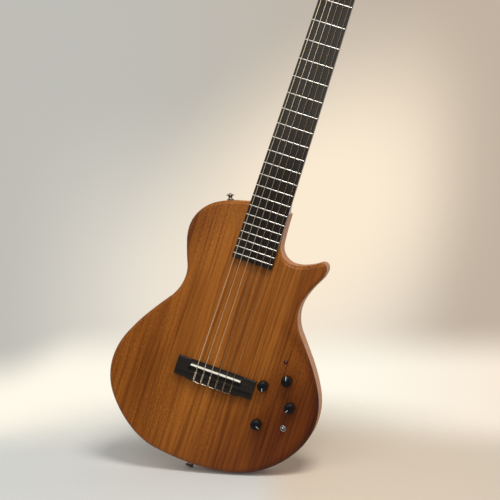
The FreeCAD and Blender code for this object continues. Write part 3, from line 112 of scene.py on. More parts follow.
def deselect():
    """Back to object mode, with nothing selected."""
    if bpy.context.object and bpy.context.object.mode != "OBJECT":
        bpy.ops.object.mode_set(mode="OBJECT")
    bpy.ops.object.select_all(action="DESELECT")


def activate(piece):
    deselect()
    piece.select_set(True)
    bpy.context.view_layer.objects.active = piece


def edit(piece, action="DESELECT"):
    """Edit mode on a piece, with none or all of its corners selected."""
    activate(piece)
    bpy.ops.object.mode_set(mode="EDIT")
    bpy.ops.mesh.select_mode(type="VERT")
    bpy.ops.mesh.select_all(action=action)


def pick(piece, kind, wanted):
    """In edit mode, select the faces or edges that a test accepts."""
    bpy.ops.mesh.select_mode(type=kind)
    bpy.ops.mesh.select_all(action="DESELECT")
    mesh = bmesh.from_edit_mesh(piece.data)
    for item in mesh.faces if kind == "FACE" else mesh.edges:
        item.select_set(wanted(item))
    bmesh.update_edit_mesh(piece.data)


def sharp(edge, degrees=30):
    return len(edge.link_faces) == 2 and edge.calc_face_angle(0) > math.radians(degrees)


def middle(edge):
    return (edge.verts[0].co + edge.verts[1].co) / 2


def square_edge(edge):
    """A long enough sharp edge of a flat front or back face."""
    level = [max(abs(n) for n in face.normal) > 0.999 for face in edge.link_faces]
    flat = any(abs(face.normal.y) > 0.999 for face in edge.link_faces)
    return sharp(edge, 50) and (all(level) or flat) and edge.calc_length() > 1.5 * MM


def merge(piece, reach):
    """Edit mode on a piece, with all of it selected and its doubles merged."""
    edit(piece, "SELECT")
    bpy.ops.mesh.remove_doubles(threshold=reach)


def close_mesh(piece):
    """Merge doubles and turn every face outwards."""
    merge(piece, DOUBLES)
    bpy.ops.mesh.normals_make_consistent(inside=False)
    bpy.ops.object.mode_set(mode="OBJECT")
    return piece


def cleaned(piece):
    """Take out the slivers that a bevel or a cut can leave."""
    merge(piece, SLIVERS)
    bpy.ops.mesh.dissolve_degenerate(threshold=SLIVERS)
    bpy.ops.object.mode_set(mode="OBJECT")
    return piece


def new_object(name, data):
    """An object in the scene around some data."""
    piece = bpy.data.objects.new(name, data)
    bpy.context.scene.collection.objects.link(piece)
    return piece


def copy_of(node, name):
    """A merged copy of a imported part's mesh, with its flat facets joined."""
    piece = new_object(name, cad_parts[node].data.copy())
    piece.data.materials.clear()
    merge(piece, DOUBLES)
    bpy.ops.mesh.dissolve_limited(angle_limit=math.radians(0.5))
    bpy.ops.object.mode_set(mode="OBJECT")
    return piece


def soften(piece, width, segments, wanted):
    """Round the edges that a test accepts, as with the bevel tool."""
    edit(piece)
    pick(piece, "EDGE", wanted)
    bpy.ops.mesh.bevel(offset=width, segments=segments, affect="EDGES", clamp_overlap=True)
    bpy.ops.object.mode_set(mode="OBJECT")
    return piece


def modified(piece, kind, **settings):
    """Add a modifier with its settings, and apply it."""
    activate(piece)
    modifier = piece.modifiers.new(kind.lower(), kind)
    for name, value in settings.items():
        setattr(modifier, name, value)
    bpy.ops.object.modifier_apply(modifier=modifier.name)
    return piece


def bevelled(piece, width, segments=2, degrees=30):
    """Round all sharp edges."""
    return modified(piece, "BEVEL", width=width, segments=segments, limit_method="ANGLE",
                    angle_limit=math.radians(degrees))


def smooth(piece, degrees=35):
    activate(piece)
    bpy.ops.object.shade_smooth_by_angle(angle=math.radians(degrees))
    return piece


def weighted(piece, degrees=35):
    """Smooth, with normals that keep large flat faces flat beside their rounded edges."""
    return modified(smooth(piece, degrees), "WEIGHTED_NORMAL", keep_sharp=True)


def place(piece, where, turn):
    """Put a piece modelled at the origin in its place, and write the place into its mesh."""
    activate(piece)
    piece.rotation_mode = "QUATERNION"
    piece.rotation_quaternion = turn
    piece.location = where
    bpy.ops.object.transform_apply(location=True, rotation=True, scale=True)
    return piece


def facing(direction, heading=None):
    """The turn that sets a piece modelled along +Z to a direction, and its +Y to a heading."""
    z = Vector(direction).normalized()
    if heading is None:
        return Vector((0, 0, 1)).rotation_difference(z)
    y = (Vector(heading) - z * Vector(heading).dot(z)).normalized()
    return Matrix((y.cross(z), y, z)).transposed().to_quaternion()


def join(pieces, name):
    deselect()
    for piece in pieces:
        piece.select_set(True)
    bpy.context.view_layer.objects.active = pieces[0]
    bpy.ops.object.join()
    pieces[0].name = name
    return pieces[0]


def scaled(name, scale):
    """Name and scale the primitive just added, and write its transform into its mesh."""
    piece = bpy.context.object
    piece.name = name
    piece.scale = scale
    bpy.ops.object.transform_apply(location=True, rotation=True, scale=True)
    return piece


def block(name, low, high):
    """A box between two corners, as a start for a shaped piece."""
    deselect()
    bpy.ops.mesh.primitive_cube_add(size=1, location=(Vector(low) + Vector(high)) / 2)
    return scaled(name, Vector(high) - Vector(low))


def cylinder(name, sides, scale, where=(0, 0, 0), rotation=(0, 0, 0)):
    """A cylinder of radius 1 and height 1, scaled and then turned and moved."""
    deselect()
    bpy.ops.mesh.primitive_cylinder_add(vertices=sides, radius=1, depth=1, location=where,
                                        rotation=rotation)
    return scaled(name, scale)


def turned(name, steps, profile):
    """A turned piece about Z: a point drawn along its profile, then spun about the axis."""
    deselect()
    bpy.ops.mesh.primitive_plane_add(size=MM)
    piece = bpy.context.object
    piece.name = name
    edit(piece, "SELECT")
    bpy.ops.mesh.merge(type="CENTER")
    bpy.ops.mesh.select_all(action="SELECT")
    bpy.ops.transform.translate(value=(profile[0][0], 0, profile[0][1]))
    for (r0, z0), (r1, z1) in zip(profile, profile[1:]):
        bpy.ops.mesh.extrude_region_move(
            TRANSFORM_OT_translate={"value": (r1 - r0, 0, z1 - z0)})
    bpy.ops.mesh.select_all(action="SELECT")
    bpy.ops.mesh.spin(steps=steps, angle=2 * math.pi, center=(0, 0, 0), axis=(0, 0, 1))
    bpy.ops.object.mode_set(mode="OBJECT")
    return close_mesh(piece)


def arc(centre, radius, start, end, count):
    """Points of a profile's round: a centre, a radius and two angles in degrees."""
    angles = [math.radians(start + (end - start) * k / count) for k in range(count + 1)]
    return [(centre[0] + radius * math.cos(angle), centre[1] + radius * math.sin(angle))
            for angle in angles]


def cut_by(piece, cutter, operation="DIFFERENCE"):
    """Cut a piece by another one, or join the two; the other one is then removed."""
    modified(piece, "BOOLEAN", operation=operation, solver="EXACT", object=cutter)
    bpy.data.objects.remove(cutter)
    return piece


def slotted_head(screw, top, depth):
    """Saw the driver's slot across the head of a screw or a roller."""
    half = sizes().slot_width / 2
    saw_reach = 5 * MM
    return cut_by(screw, block("saw", (-saw_reach, -half, top - depth),
                               (saw_reach, half, top + depth)))


def paint(mesh, look):
    """Give a mesh one finish."""
    mesh.materials.clear()
    mesh.materials.append(finish(look))


def finished(piece, slot, look, *replaces, body="guitar"):
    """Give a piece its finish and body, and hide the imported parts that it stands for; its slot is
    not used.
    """
    paint(piece.data, look)
    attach(piece, body)
    if replaces:
        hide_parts(*replaces)


def solids_of(node):
    """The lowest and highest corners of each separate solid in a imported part, along Z."""
    mesh = bmesh.new()
    mesh.from_mesh(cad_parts[node].data)
    bmesh.ops.remove_doubles(mesh, verts=mesh.verts, dist=DOUBLES)
    left = set(mesh.verts)
    boxes = []
    while left:
        front = [left.pop()]
        points = []
        while front:
            vert = front.pop()
            points.append(vert.co.copy())
            for edge in vert.link_edges:
                other = edge.other_vert(vert)
                if other in left:
                    left.discard(other)
                    front.append(other)
        boxes.append([Vector([extreme(p[k] for p in points) for k in range(3)])
                      for extreme in (min, max)])
    mesh.free()
    return sorted(boxes, key=lambda box: (round(box[0].z, 4), box[0].x))


def centre_of(node):
    low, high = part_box(node)
    return (low + high) / 2


def corners_of(node, wanted=lambda point: True):
    """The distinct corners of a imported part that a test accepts."""
    return [Vector(p) for p in {tuple(round(c, 6) for c in v.co)
                                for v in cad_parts[node].data.vertices if wanted(v.co)}]


def mean(points):
    return sum(points, Vector()) / len(points)


# Finishes


def fill(tree, node, *values, **named):
    """Fill a node's inputs in order, then by name: with links from sockets, or with values."""
    inputs = [*zip(node.inputs, values)]
    inputs += [(node.inputs[name.replace("_", " ")], value) for name, value in named.items()]
    for socket, value in inputs:
        if isinstance(value, bpy.types.NodeSocket):
            tree.links.new(value, socket)
        elif value is not None:
            socket.default_value = (*value[:3], 1) if socket.type == "RGBA" else value
    return node


def add(tree, kind, *values, settings=None, **named):
    """A shader node with its settings and its filled inputs."""
    node = tree.nodes.new("ShaderNode" + kind)
    for name, value in (settings or {}).items():
        setattr(node, name, value)
    return fill(tree, node, *values, **named)


def calc(tree, operation, *values):
    """A Math node's result from sockets or numbers."""
    return add(tree, "Math", *values, settings={"operation": operation}).outputs[0]


def times(tree, *values):
    return functools.reduce(lambda first, second: calc(tree, "MULTIPLY", first, second), values)


def plus(tree, *values):
    return functools.reduce(lambda first, second: calc(tree, "ADD", first, second), values)


def vector_calc(tree, operation, *values):
    """A Vector Math node's vector."""
    return add(tree, "VectorMath", *values, settings={"operation": operation}).outputs["Vector"]


def measure(tree, operation, *values):
    """A Vector Math node's number: a dot product, a length or a distance."""
    return add(tree, "VectorMath", *values, settings={"operation": operation}).outputs["Value"]


def spread(tree, value, low, high):
    """A value stretched so that low becomes 0 and high becomes 1."""
    return add(tree, "MapRange", Value=value, From_Min=low, From_Max=high, settings={
        "clamp": True, "interpolation_type": "SMOOTHSTEP"}).outputs["Result"]


def blend(tree, share, first, second, mode="MIX"):
    """Two colours or sockets mixed by a share; a Mix node's colours are its inputs 6 and 7."""
    return add(tree, "Mix", share, *[None] * 5, first, second,
               settings={"data_type": "RGBA", "blend_type": mode}).outputs[2]


def noise(tree, vector, scale, detail, rough, stretch=(1, 1, 1)):
    """Noise whose cells are stretched by a Mapping node, per metre."""
    mapping = add(tree, "Mapping", vector, Scale=stretch)
    return add(tree, "TexNoise", mapping.outputs[0], Scale=scale, Detail=detail, Roughness=rough,
               settings={"noise_dimensions": "3D"}).outputs["Fac"]


def bump(tree, height, strength, distance):
    return add(tree, "Bump", Strength=strength, Distance=distance, Height=height).outputs[0]


def mix_shaders(tree, share, first, second):
    return add(tree, "MixShader", share, first, second).outputs[0]


def new_group(name, inputs, *outputs):
    """A shader node group: its inputs by name with their values, and its outputs by name."""
    tree = bpy.data.node_groups.new(name, "ShaderNodeTree")
    for label, value in inputs.items():
        kind = "Vector" if value is None else "Color" if isinstance(value, tuple) else "Float"
        socket = tree.interface.new_socket(
            name=label, in_out="INPUT", socket_type="NodeSocket" + kind)
        if value is not None:
            socket.default_value = value
    for label in outputs:
        kind = "Color" if label == "Color" else "Float"
        tree.interface.new_socket(name=label, in_out="OUTPUT", socket_type="NodeSocket" + kind)
    given = tree.nodes.new("NodeGroupInput").outputs
    return tree, given, tree.nodes.new("NodeGroupOutput")


def make_wood_grain():
    """Long fibres, broad bands and short pores that run along the neck."""
    tree, given, result = new_group(
        "wood_grain", {"Vector": None, "Pale": (1, 1, 1, 1), "Dark": (0, 0, 0, 1), "Bands": 0.5,
                       "Pores": 0.5, "Figure": 0.0, "Lines": 0.6}, "Color", "Height", "Gloss")

    def layer(scale, detail, rough, along):
        return noise(tree, given["Vector"], scale, detail, rough, (1, 1, along))

    warp = layer(26, 3, 0.5, 0.05)
    streaks = layer(240, 4, 0.6, 0.02)
    fibres = layer(1100, 3, 0.6, 0.022)
    fine = times(tree, spread(tree, fibres, 0.35, 0.68), 0.26)
    total = plus(
        tree,
        times(tree, spread(tree, layer(62, 3, 0.5, 0.035), 0.36, 0.66), given["Bands"]),
        times(tree, spread(tree, streaks, 0.38, 0.64), 0.42),
        fine,
        times(tree, spread(tree, layer(11, 2, 0.5, 0.3), 0.3, 0.7), 0.22),
        times(tree, spread(tree, layer(420, 5, 0.65, 0.55), 0.42, 0.62),
              spread(tree, layer(9, 2, 0.5, 0.5), 0.42, 0.62), given["Figure"]))
    total = times(tree, total, 0.72)
    across = measure(tree, "DOT_PRODUCT", given["Vector"], (1, 0.35, 0.01))
    faint = spread(tree, streaks, 0.62, 0.36)
    for lines, bend, narrow, depth in ((118, 5.2, 7, 0.42), (330, 11, 4, 0.26)):
        phase = calc(tree, "MULTIPLY_ADD", across, lines * 2 * math.pi,
                     times(tree, warp, bend * 2 * math.pi))
        line = calc(tree, "MULTIPLY_ADD", calc(tree, "SINE", phase), 0.5, 0.5)
        line = times(tree, calc(tree, "POWER", line, narrow), faint, depth, given["Lines"])
        total = calc(tree, "SUBTRACT", total, line)
    shade = blend(tree, total, given["Dark"], given["Pale"])
    pore = times(tree, spread(tree, layer(1500, 2, 0.5, 0.09), 0.60, 0.72), given["Pores"])
    fill(tree, result, Color=blend(tree, pore, shade, given["Dark"]),
         Height=calc(tree, "SUBTRACT", times(tree, fibres, 0.35), pore),
         Gloss=plus(tree, times(tree, pore, 0.35), fine))


BOUT_CENTRE = Vector((0, 0, -0.672))
BOUT_SHARES = (1 / 0.168, 0, 1 / 0.140)
# Ways across the top that get painted shade: direction, origin, start, end and tone. They darken the
# lower treble side, the bass side and the upper bass shoulder; the last one darkens the treble side
# beyond the strings, which leaves a paler painted sheen down the middle.
PAINTED_SHADE_WAYS = (((0.53, 0, -0.373), (0, 0, -0.65), 0.015, 0.098, (0.54, 0.42, 0.28)),
               ((-1, 0, -0.12), (0.06, 0, -0.62), 0.10, 0.20, (0.74, 0.66, 0.50)),
               ((-0.8, 0, 0.6), (0, 0, -0.45), 0.03, 0.10, (0.72, 0.68, 0.60)),
               ((1, 0, 0.04), (0.068, 0, -0.45), 0.0, 0.016, (0.72, 0.64, 0.54)))
# Painted shade along the top's rim on the lower treble side.
PAINTED_RIM_SHADE = (0.50, 0.36, 0.25)


def make_painted_top_shade():
    """Painted shade on the top: darker towards the lower treble side, the bass side, the upper bass
    shoulder and the treble rim, with a paler painted sheen left in the middle.
    """
    tree, given, result = new_group(
        "lacquer_tone", {"Vector": None, "Color": (1, 1, 1, 1)}, "Color")
    point = given["Vector"]
    shade = given["Color"]

    def darkened(share, tone):
        return blend(tree, share, shade, blend(tree, 1.0, shade, tone, "MULTIPLY"))

    for direction, origin, start, end, tone in PAINTED_SHADE_WAYS:
        reach = measure(tree, "DOT_PRODUCT", vector_calc(tree, "SUBTRACT", point, origin),
                        direction)
        reach = calc(tree, "MULTIPLY_ADD", noise(tree, point, 14, 2, 0.5), (end - start) * 0.3,
                     reach)
        shade = darkened(spread(tree, reach, start, end), tone)
    # Painted shade along the lower treble rim, where the top's round turns away from the light.
    around = measure(tree, "LENGTH", vector_calc(
        tree, "MULTIPLY", vector_calc(tree, "SUBTRACT", point, BOUT_CENTRE), BOUT_SHARES))
    treble = spread(tree, measure(tree, "DOT_PRODUCT", point, (1, 0, 0)), 0.0, 0.09)
    lower = spread(tree, measure(tree, "DOT_PRODUCT", point, (0, 0, 1)), -0.53, -0.60)
    shade = darkened(times(tree, treble, lower, spread(tree, around, 0.87, 0.99)), PAINTED_RIM_SHADE)
    fill(tree, result, shade)


def make_painted_board_sheen():
    """A painted sheen: a paler stretch of the fingerboard between its upper frets and the nut."""
    tree, given, result = new_group(
        "board_tone", {"Vector": None, "Color": (1, 1, 1, 1)}, "Color")
    up = measure(tree, "DOT_PRODUCT", given["Vector"], (0, 0, 1))
    mottle = noise(tree, given["Vector"], 40, 3, 0.5, (1, 1, 0.3))
    # Painted sheen, strongest on the upper stretch of the board and mottled.
    sheen_share = times(tree, spread(tree, up, -0.40, -0.20), spread(tree, up, -0.01, -0.12),
                calc(tree, "MULTIPLY_ADD", mottle, 0.6, 0.6))
    paler = blend(tree, sheen_share, given["Color"], (0.055, 0.053, 0.046))
    fill(tree, result, blend(tree, 0.6, given["Color"], paler))


def make_fine_wear():
    """Faint smudges and hairlines that change the gloss of smooth pieces."""
    tree, given, result = new_group(
        "fine_wear", {"Vector": None, "Low": 0.1, "High": 0.3}, "Roughness", "Height", "Mask")
    vector = given["Vector"]
    smudge = spread(tree, noise(tree, vector, 95, 4, 0.6), 0.35, 0.7)
    hair = noise(tree, vector, 2600, 3, 0.6, (1, 0.12, 1))
    grit = spread(tree, noise(tree, vector, 900, 3, 0.6), 0.55, 0.75)
    mask = plus(tree, times(tree, smudge, 0.7), times(tree, grit, 0.3))
    gap = calc(tree, "SUBTRACT", given["High"], given["Low"])
    fill(tree, result, calc(tree, "MULTIPLY_ADD", mask, gap, given["Low"]),
         plus(tree, hair, grit), mask)


GROUP_MAKERS = {"wood_grain": make_wood_grain, "lacquer_tone": make_painted_top_shade,
                "board_tone": make_painted_board_sheen, "fine_wear": make_fine_wear}


def from_group(tree, name, *values):
    """The outputs of a shared group's node with its inputs filled; the group is made once."""
    if name not in bpy.data.node_groups:
        GROUP_MAKERS[name]()
    group = bpy.data.node_groups[name]
    return add(tree, "Group", *values, settings={"node_tree": group}).outputs


def shader(name, **values):
    """A material with its own surface shader, and the Object coordinates for its patterns."""
    material = bpy.data.materials.new(name)
    material.use_nodes = True
    tree = material.node_tree
    surface = next(node for node in tree.nodes if node.type == "BSDF_PRINCIPLED")
    fill(tree, surface, **values)
    return material, tree, surface, add(tree, "TexCoord").outputs["Object"]


def wood(name, stock, bands, pores, low, high, figure=0.0, lines=0.6, relief=0.02 * MM,
         turn=(0, 0, 0), tone=None, **values):
    """Lacquered or oiled wood with its grain along the neck, or turned from it."""
    material, tree, surface, point = shader(name, Coat_Roughness=0.16, **values)
    along = add(tree, "Mapping", point, Rotation=turn).outputs[0]
    colours = bpy.context.scene.guitar_colours
    grain = from_group(tree, "wood_grain", along, getattr(colours, stock + "_pale"),
                       getattr(colours, stock + "_dark"), bands, pores, figure, lines)
    # The tone group paints light or shade over the grain: painted shade on the top, a painted sheen
    # on the fingerboard.
    base = from_group(tree, tone, point, grain["Color"])[0] if tone else grain["Color"]
    fill(tree, surface, Base_Color=base, Normal=bump(tree, grain["Height"], 0.5, relief),
         Roughness=calc(tree, "MULTIPLY_ADD", grain["Gloss"], high - low, low))
    return material


def smooth_finish(name, base, dark, low, high, relief=0.002 * MM, **values):
    """Metal, plastic or bone: two near colours, smudged gloss and fine hairlines."""
    material, tree, surface, point = shader(name, Coat_Roughness=0.08, **values)
    wear = from_group(tree, "fine_wear", point, low, high)
    fill(tree, surface, Base_Color=blend(tree, wear["Mask"], base, dark),
         Roughness=wear["Roughness"], Normal=bump(tree, wear["Height"], 0.3, relief))
    return material


def textured_plastic(name, base, dark, grain=2400, relief=0.03 * MM):
    """Moulded plastic with a fine spark texture."""
    material, tree, surface, point = shader(name, Specular_IOR_Level=0.4)
    spots = noise(tree, point, grain, 3, 0.6)
    broad = spread(tree, noise(tree, point, 70, 3, 0.5), 0.35, 0.7)
    fill(tree, surface, Base_Color=blend(tree, broad, base, dark),
         Roughness=calc(tree, "MULTIPLY_ADD", spots, 0.3, 0.35),
         Normal=bump(tree, spots, 0.6, relief))
    return material


def wound_finish(name, base, dark):
    """A metal winding over the bass strings: fine rings across the string."""
    material, tree, surface, point = shader(name, Metallic=0.85)
    rings = add(tree, "TexWave", point, Scale=1500.0, Distortion=0.0,
                settings={"bands_direction": "Z"}).outputs["Fac"]
    patches = spread(tree, noise(tree, point, 160, 3, 0.6, (1, 1, 0.2)), 0.35, 0.7)
    fill(tree, surface, Base_Color=blend(tree, patches, base, dark),
         Roughness=calc(tree, "MULTIPLY_ADD", rings, 0.12, 0.26),
         Normal=bump(tree, rings, 0.35, 0.05 * MM))
    return material


EBONY = ("board", 0.45, 0.5)
METAL = {"Metallic": 1.0}
# Each finish by its material's name: its maker, then the maker's values in order and by name.
FINISHES = {
    "core_wood": (wood, ("core", 0.55, 0.25, 0.5, 0.66), {"Specular_IOR_Level": 0.12}),
    "top_wood": (wood, ("top", 0.31, 0.4, 0.36, 0.5), {
        "Coat_Weight": 0.05, "Specular_IOR_Level": 0.18, "figure": 0.6, "lines": 0.8,
        "relief": 0.03 * MM, "tone": "lacquer_tone"}),
    "neck_wood": (wood, ("neck", 0.5, 0.6, 0.36, 0.52), {"Coat_Weight": 0.2}),
    "ebony_wood": (wood, (*EBONY, 0.36, 0.52), {"Specular_IOR_Level": 0.22}),
    "fingerboard_wood": (wood, (*EBONY, 0.36, 0.52), {
        "Specular_IOR_Level": 0.12, "tone": "board_tone"}),
    "ebony_across": (wood, (*EBONY, 0.24, 0.38), {
        "Coat_Weight": 0.04, "Specular_IOR_Level": 0.35, "turn": (0, math.pi / 2, 0)}),
    "fret_nickel": (smooth_finish, ((0.50, 0.49, 0.46), (0.40, 0.39, 0.37), 0.26, 0.38), METAL),
    "polished_bone": (smooth_finish, ((0.90, 0.87, 0.78), (0.84, 0.79, 0.68), 0.22, 0.4), {
        "Coat_Weight": 0.2, "Subsurface_Weight": 0.05, "relief": 0.01 * MM}),
    "plain_steel": (smooth_finish, ((0.47, 0.47, 0.48), (0.33, 0.33, 0.34), 0.3, 0.5), METAL),
    "bright_chrome": (smooth_finish, ((0.58, 0.58, 0.60), (0.48, 0.48, 0.50), 0.14, 0.28), METAL),
    "smoked_chrome": (smooth_finish, ((0.24, 0.22, 0.20), (0.17, 0.16, 0.15), 0.12, 0.26), METAL),
    "polished_brass": (smooth_finish, ((0.72, 0.55, 0.28), (0.58, 0.42, 0.2), 0.16, 0.34), METAL),
    "pressed_metal": (smooth_finish, ((0.60, 0.60, 0.61), (0.46, 0.46, 0.47), 0.25, 0.5), METAL),
    "pearl_button": (smooth_finish, ((0.86, 0.82, 0.72), (0.70, 0.66, 0.56), 0.12, 0.26), {
        "Coat_Weight": 0.5, "relief": 0.01 * MM}),
    "gloss_black": (smooth_finish, ((0.007, 0.007, 0.009), (0.012, 0.012, 0.014), 0.22, 0.34), {
        "Coat_Weight": 0.05, "Specular_IOR_Level": 0.2, "IOR": 1.3}),
    "white_fill": (smooth_finish, ((0.62, 0.64, 0.66), (0.52, 0.54, 0.56), 0.3, 0.5), {}),
    "red_lens": (smooth_finish, ((0.11, 0.004, 0.004), (0.07, 0.003, 0.003), 0.06, 0.15), {
        "Coat_Weight": 0.4}),
    "clear_nylon": (smooth_finish, ((0.46, 0.34, 0.22), (0.38, 0.27, 0.16), 0.12, 0.22), {
        "Specular_IOR_Level": 0.3, "Transmission_Weight": 0.6}),
    "wound_silver": (wound_finish, ((0.98, 0.84, 0.64), (0.84, 0.68, 0.47)), {}),
    "black_moulding": (textured_plastic, ((0.022, 0.022, 0.024), (0.034, 0.034, 0.036)), {}),
    "board_lacquer": (textured_plastic, ((0.02, 0.13, 0.06), (0.03, 0.17, 0.08), 500, 0.01 * MM),
                      {}),
    "battery_jacket": (textured_plastic, ((0.09, 0.09, 0.10), (0.13, 0.13, 0.14), 900, 0.01 * MM),
                       {}),
}
made_finishes = {}


def finish(name):
    """A material by its name, made when it is first needed."""
    if name not in made_finishes:
        maker, values, named = FINISHES[name]
        made_finishes[name] = maker(name, *values, **named)
    return made_finishes[name]


# Wooden pieces, frets and the bridge


def rim_of_body(edge):
    """A sharp edge between the body's 45 degree rim and another face."""
    slanted = [abs(abs(face.normal.y) - math.sqrt(0.5)) < 0.1 for face in edge.link_faces]
    return sharp(edge, 20) and sum(slanted) == 1


class GUITAR_OT_woods(bpy.types.Operator):
    """Body, soundboard, neck, headstock face and fingerboard"""
    bl_idname = "guitar.woods"
    bl_label = "Wooden pieces"

    def execute(self, context):
        for node, name, slot, look in (
                ("body_core", "chambered_core", "light_core_wood", "core_wood"),
                ("soundboard", "figured_top", "brown_top_wood", "top_wood")):
            piece = soften(copy_of(node, name), sizes().body_round, 5, rim_of_body)
            finished(weighted(piece, 32), slot, look, node)
        finished(weighted(copy_of("neck", "carved_neck"), 32), "neck_wood", "neck_wood", "neck")
        plate = bevelled(copy_of("headplate", "head_face"), sizes().wood_edge, 2, 40)
        finished(weighted(plate), "dark_board_wood", "ebony_wood", "headplate")
        paint(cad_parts["fingerboard"].data, "fingerboard_wood")
        return {"FINISHED"}


class GUITAR_OT_frets(bpy.types.Operator):
    """Round-crowned frets, each with its tang in the fingerboard"""
    bl_idname = "guitar.frets"
    bl_label = "Frets"

    def execute(self, context):
        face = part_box("fingerboard")[0].y
        half_tang = 0.28 * MM
        wires = []
        for low, high in solids_of("frets"):
            up = (low.z + high.z) / 2
            bead = cylinder("bead", 24, ((high.z - low.z) / 2, face - low.y, high.x - low.x),
                            (0, face, up), (0, math.pi / 2, 0))
            bevelled(bead, 0.3 * MM, 3, 60)
            tang = block("tang", (low.x + MM, face + 0.2 * MM, up - half_tang),
                         (high.x - MM, high.y, up + half_tang))
            wires.append(cut_by(bead, tang, "UNION"))
        finished(smooth(join(wires, "fret_wires"), 40), "fret_metal", "fret_nickel", "frets")
        return {"FINISHED"}


class GUITAR_OT_bridge(bpy.types.Operator):
    """Bridge with softened edges, crowned saddle and the nut"""
    bl_idname = "guitar.bridge"
    bl_label = "Bridge, saddle and nut"

    def execute(self, context):
        saddle_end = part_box("saddle")[1].z
        nut_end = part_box("nut")[1].x

        def land_edge(edge):
            point = middle(edge)
            return (sharp(edge) and 0.5 * MM < point.z - saddle_end < 5 * MM
                    and point.y < -8.3 * MM and edge.calc_length() > 60 * MM)

        def outer_edge(edge):
            run = (edge.verts[0].co - edge.verts[1].co).normalized()
            return sharp(edge) and (abs(run.x) > 0.95 and edge.calc_length() > 3 * MM
                                    or abs(middle(edge).x) > nut_end - 0.1 * MM)

        bridge = soften(copy_of("bridge", "tie_bridge"), 0.9 * MM, 3, land_edge)
        bevelled(bridge, sizes().wood_edge, 3, 35)
        finished(weighted(bridge), "dark_board_wood", "ebony_across", "bridge")
        saddle = bevelled(copy_of("saddle", "crowned_saddle"), sizes().bone_edge)
        finished(weighted(saddle), "bone", "polished_bone", "saddle")
        nut = soften(copy_of("nut", "grooved_nut"), sizes().bone_edge, 2, outer_edge)
        finished(weighted(nut), "bone", "polished_bone", "nut")
        return {"FINISHED"}


# Strings

STRING_RADII = {6: 0.55, 5: 0.451, 4: 0.374, 3: 0.517, 2: 0.418, 1: 0.363}
STRING_PITCH = 58.5 * MM / 5
TIE_BLOCK = 14 * MM
TIE_HOLE_Y = -4.2 * MM
ROLLER_RADIUS = 4.75 * MM
WINDING_STEPS = 16


def curve_tube(name, points, radius, corners):
    """A string's tube along a smooth line; corners are the points where it runs straight."""
    curve = bpy.data.curves.new(name, "CURVE")
    curve.dimensions = "3D"
    curve.resolution_u = 6
    curve.bevel_depth = radius
    curve.bevel_resolution = 3
    curve.use_fill_caps = True
    line = curve.splines.new("BEZIER")
    line.bezier_points.add(len(points) - 1)
    for index, (knot, point) in enumerate(zip(line.bezier_points, points)):
        knot.co = point
        knot.handle_left_type = knot.handle_right_type = "VECTOR" if index in corners else "AUTO"
    activate(new_object(name, curve))
    bpy.ops.object.convert(target="MESH")
    return bpy.context.object


def string_line(number):
    """Points of a string: its tied end, the saddle, the nut and the turns on its roller."""
    node = f"string_{number}"
    r = STRING_RADII[number] * MM
    saddle_low, saddle_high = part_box("saddle")
    saddle_z = (saddle_low.z + saddle_high.z) / 2
    crown = mean(corners_of(node, lambda p: abs(p.z - saddle_z) < 3 * MM
                            and p.y < saddle_low.y + 2 * MM))
    nut = mean(corners_of(node, lambda p: abs(p.z) < 3 * MM))
    roller = centre_of(f"string_roller_{number}")
    top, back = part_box("bridge")[0].yz
    front = back + TIE_BLOCK
    over = top - r - 0.05 * MM
    side = 1 if number > 1 else -1
    tied = ((STRING_PITCH * 0.86, top + 0.5 * MM, back - r),
            (STRING_PITCH * 0.5, top - r * 0.6, back - r * 0.2),
            (3.2 * r, over, back + 1.3 * r),
            (r, over - r * 1.1, back + 2 * MM),
            (-1.4 * r, over, back + 5 * MM),
            (-1.2 * r, over, front - 2 * MM),
            (-1.6 * r, over + 1.2 * r, front + 0.8 * r),
            (-0.6 * r, TIE_HOLE_Y - 3.4 * r, front + 2.6 * r),
            (1.6 * r, TIE_HOLE_Y - 3.6 * r, front + 1.6 * r),
            (1.5 * r, over + r, front + 0.4 * r),
            (1.4 * r, over, front - 2 * MM),
            (0.9 * r, over, back + 3.5 * MM),
            (0, over + 0.5 * r, back - 0.5 * r),
            (0, top + 2.5 * MM, back - 1.2 * r),
            (0, TIE_HOLE_Y, back - 0.2 * r),
            (0, TIE_HOLE_Y, back + 2 * MM),
            (0, TIE_HOLE_Y, front))
    points = [Vector((crown.x + side * x, y, z)) for x, y, z in tied] + [crown, nut]
    corners = range(len(points) - 5, len(points) + 1)
    winding = ROLLER_RADIUS + r + 0.1 * MM
    reach_y = nut.y - roller.y
    reach_z = nut.z - roller.z
    angle_in = math.atan2(-reach_y, reach_z) - math.acos(winding / math.hypot(reach_y, reach_z))
    out = -1 if roller.x > 0 else 1
    turn_gap = 2 * r + 0.35 * MM
    turns = sizes().string_turns
    contact = mean(corners_of(node, lambda p: p.z > roller.z - 6 * MM))
    first_x = contact.x - out * turn_gap * turns / 2
    for k in range(turns * WINDING_STEPS + 1):
        angle = angle_in - 2 * math.pi * k / WINDING_STEPS
        points.append(Vector((first_x + out * turn_gap * k / WINDING_STEPS,
                              roller.y - winding * math.sin(angle),
                              roller.z + winding * math.cos(angle))))
    return points, corners


class GUITAR_OT_strings(bpy.types.Operator):
    """Six strings, tied over the bridge and wound on their rollers"""
    bl_idname = "guitar.strings"
    bl_label = "Strings"

    def execute(self, context):
        for number, radius in sorted(STRING_RADII.items()):
            points, corners = string_line(number)
            piece = close_mesh(curve_tube(f"tied_string_{number}", points, radius * MM, corners))
            slot, look = (("wound_string", "wound_silver") if number > 3
                          else ("clear_string", "clear_nylon"))
            finished(smooth(piece, 60), slot, look, f"string_{number}")
        return {"FINISHED"}


# Controls

POINTER_HEADINGS = {"volume": (0.32, 0, -0.95), "bass": (-0.32, 0, 0.95),
                    "middle": (-0.44, 0, -0.90), "treble": (0.89, 0, -0.45)}


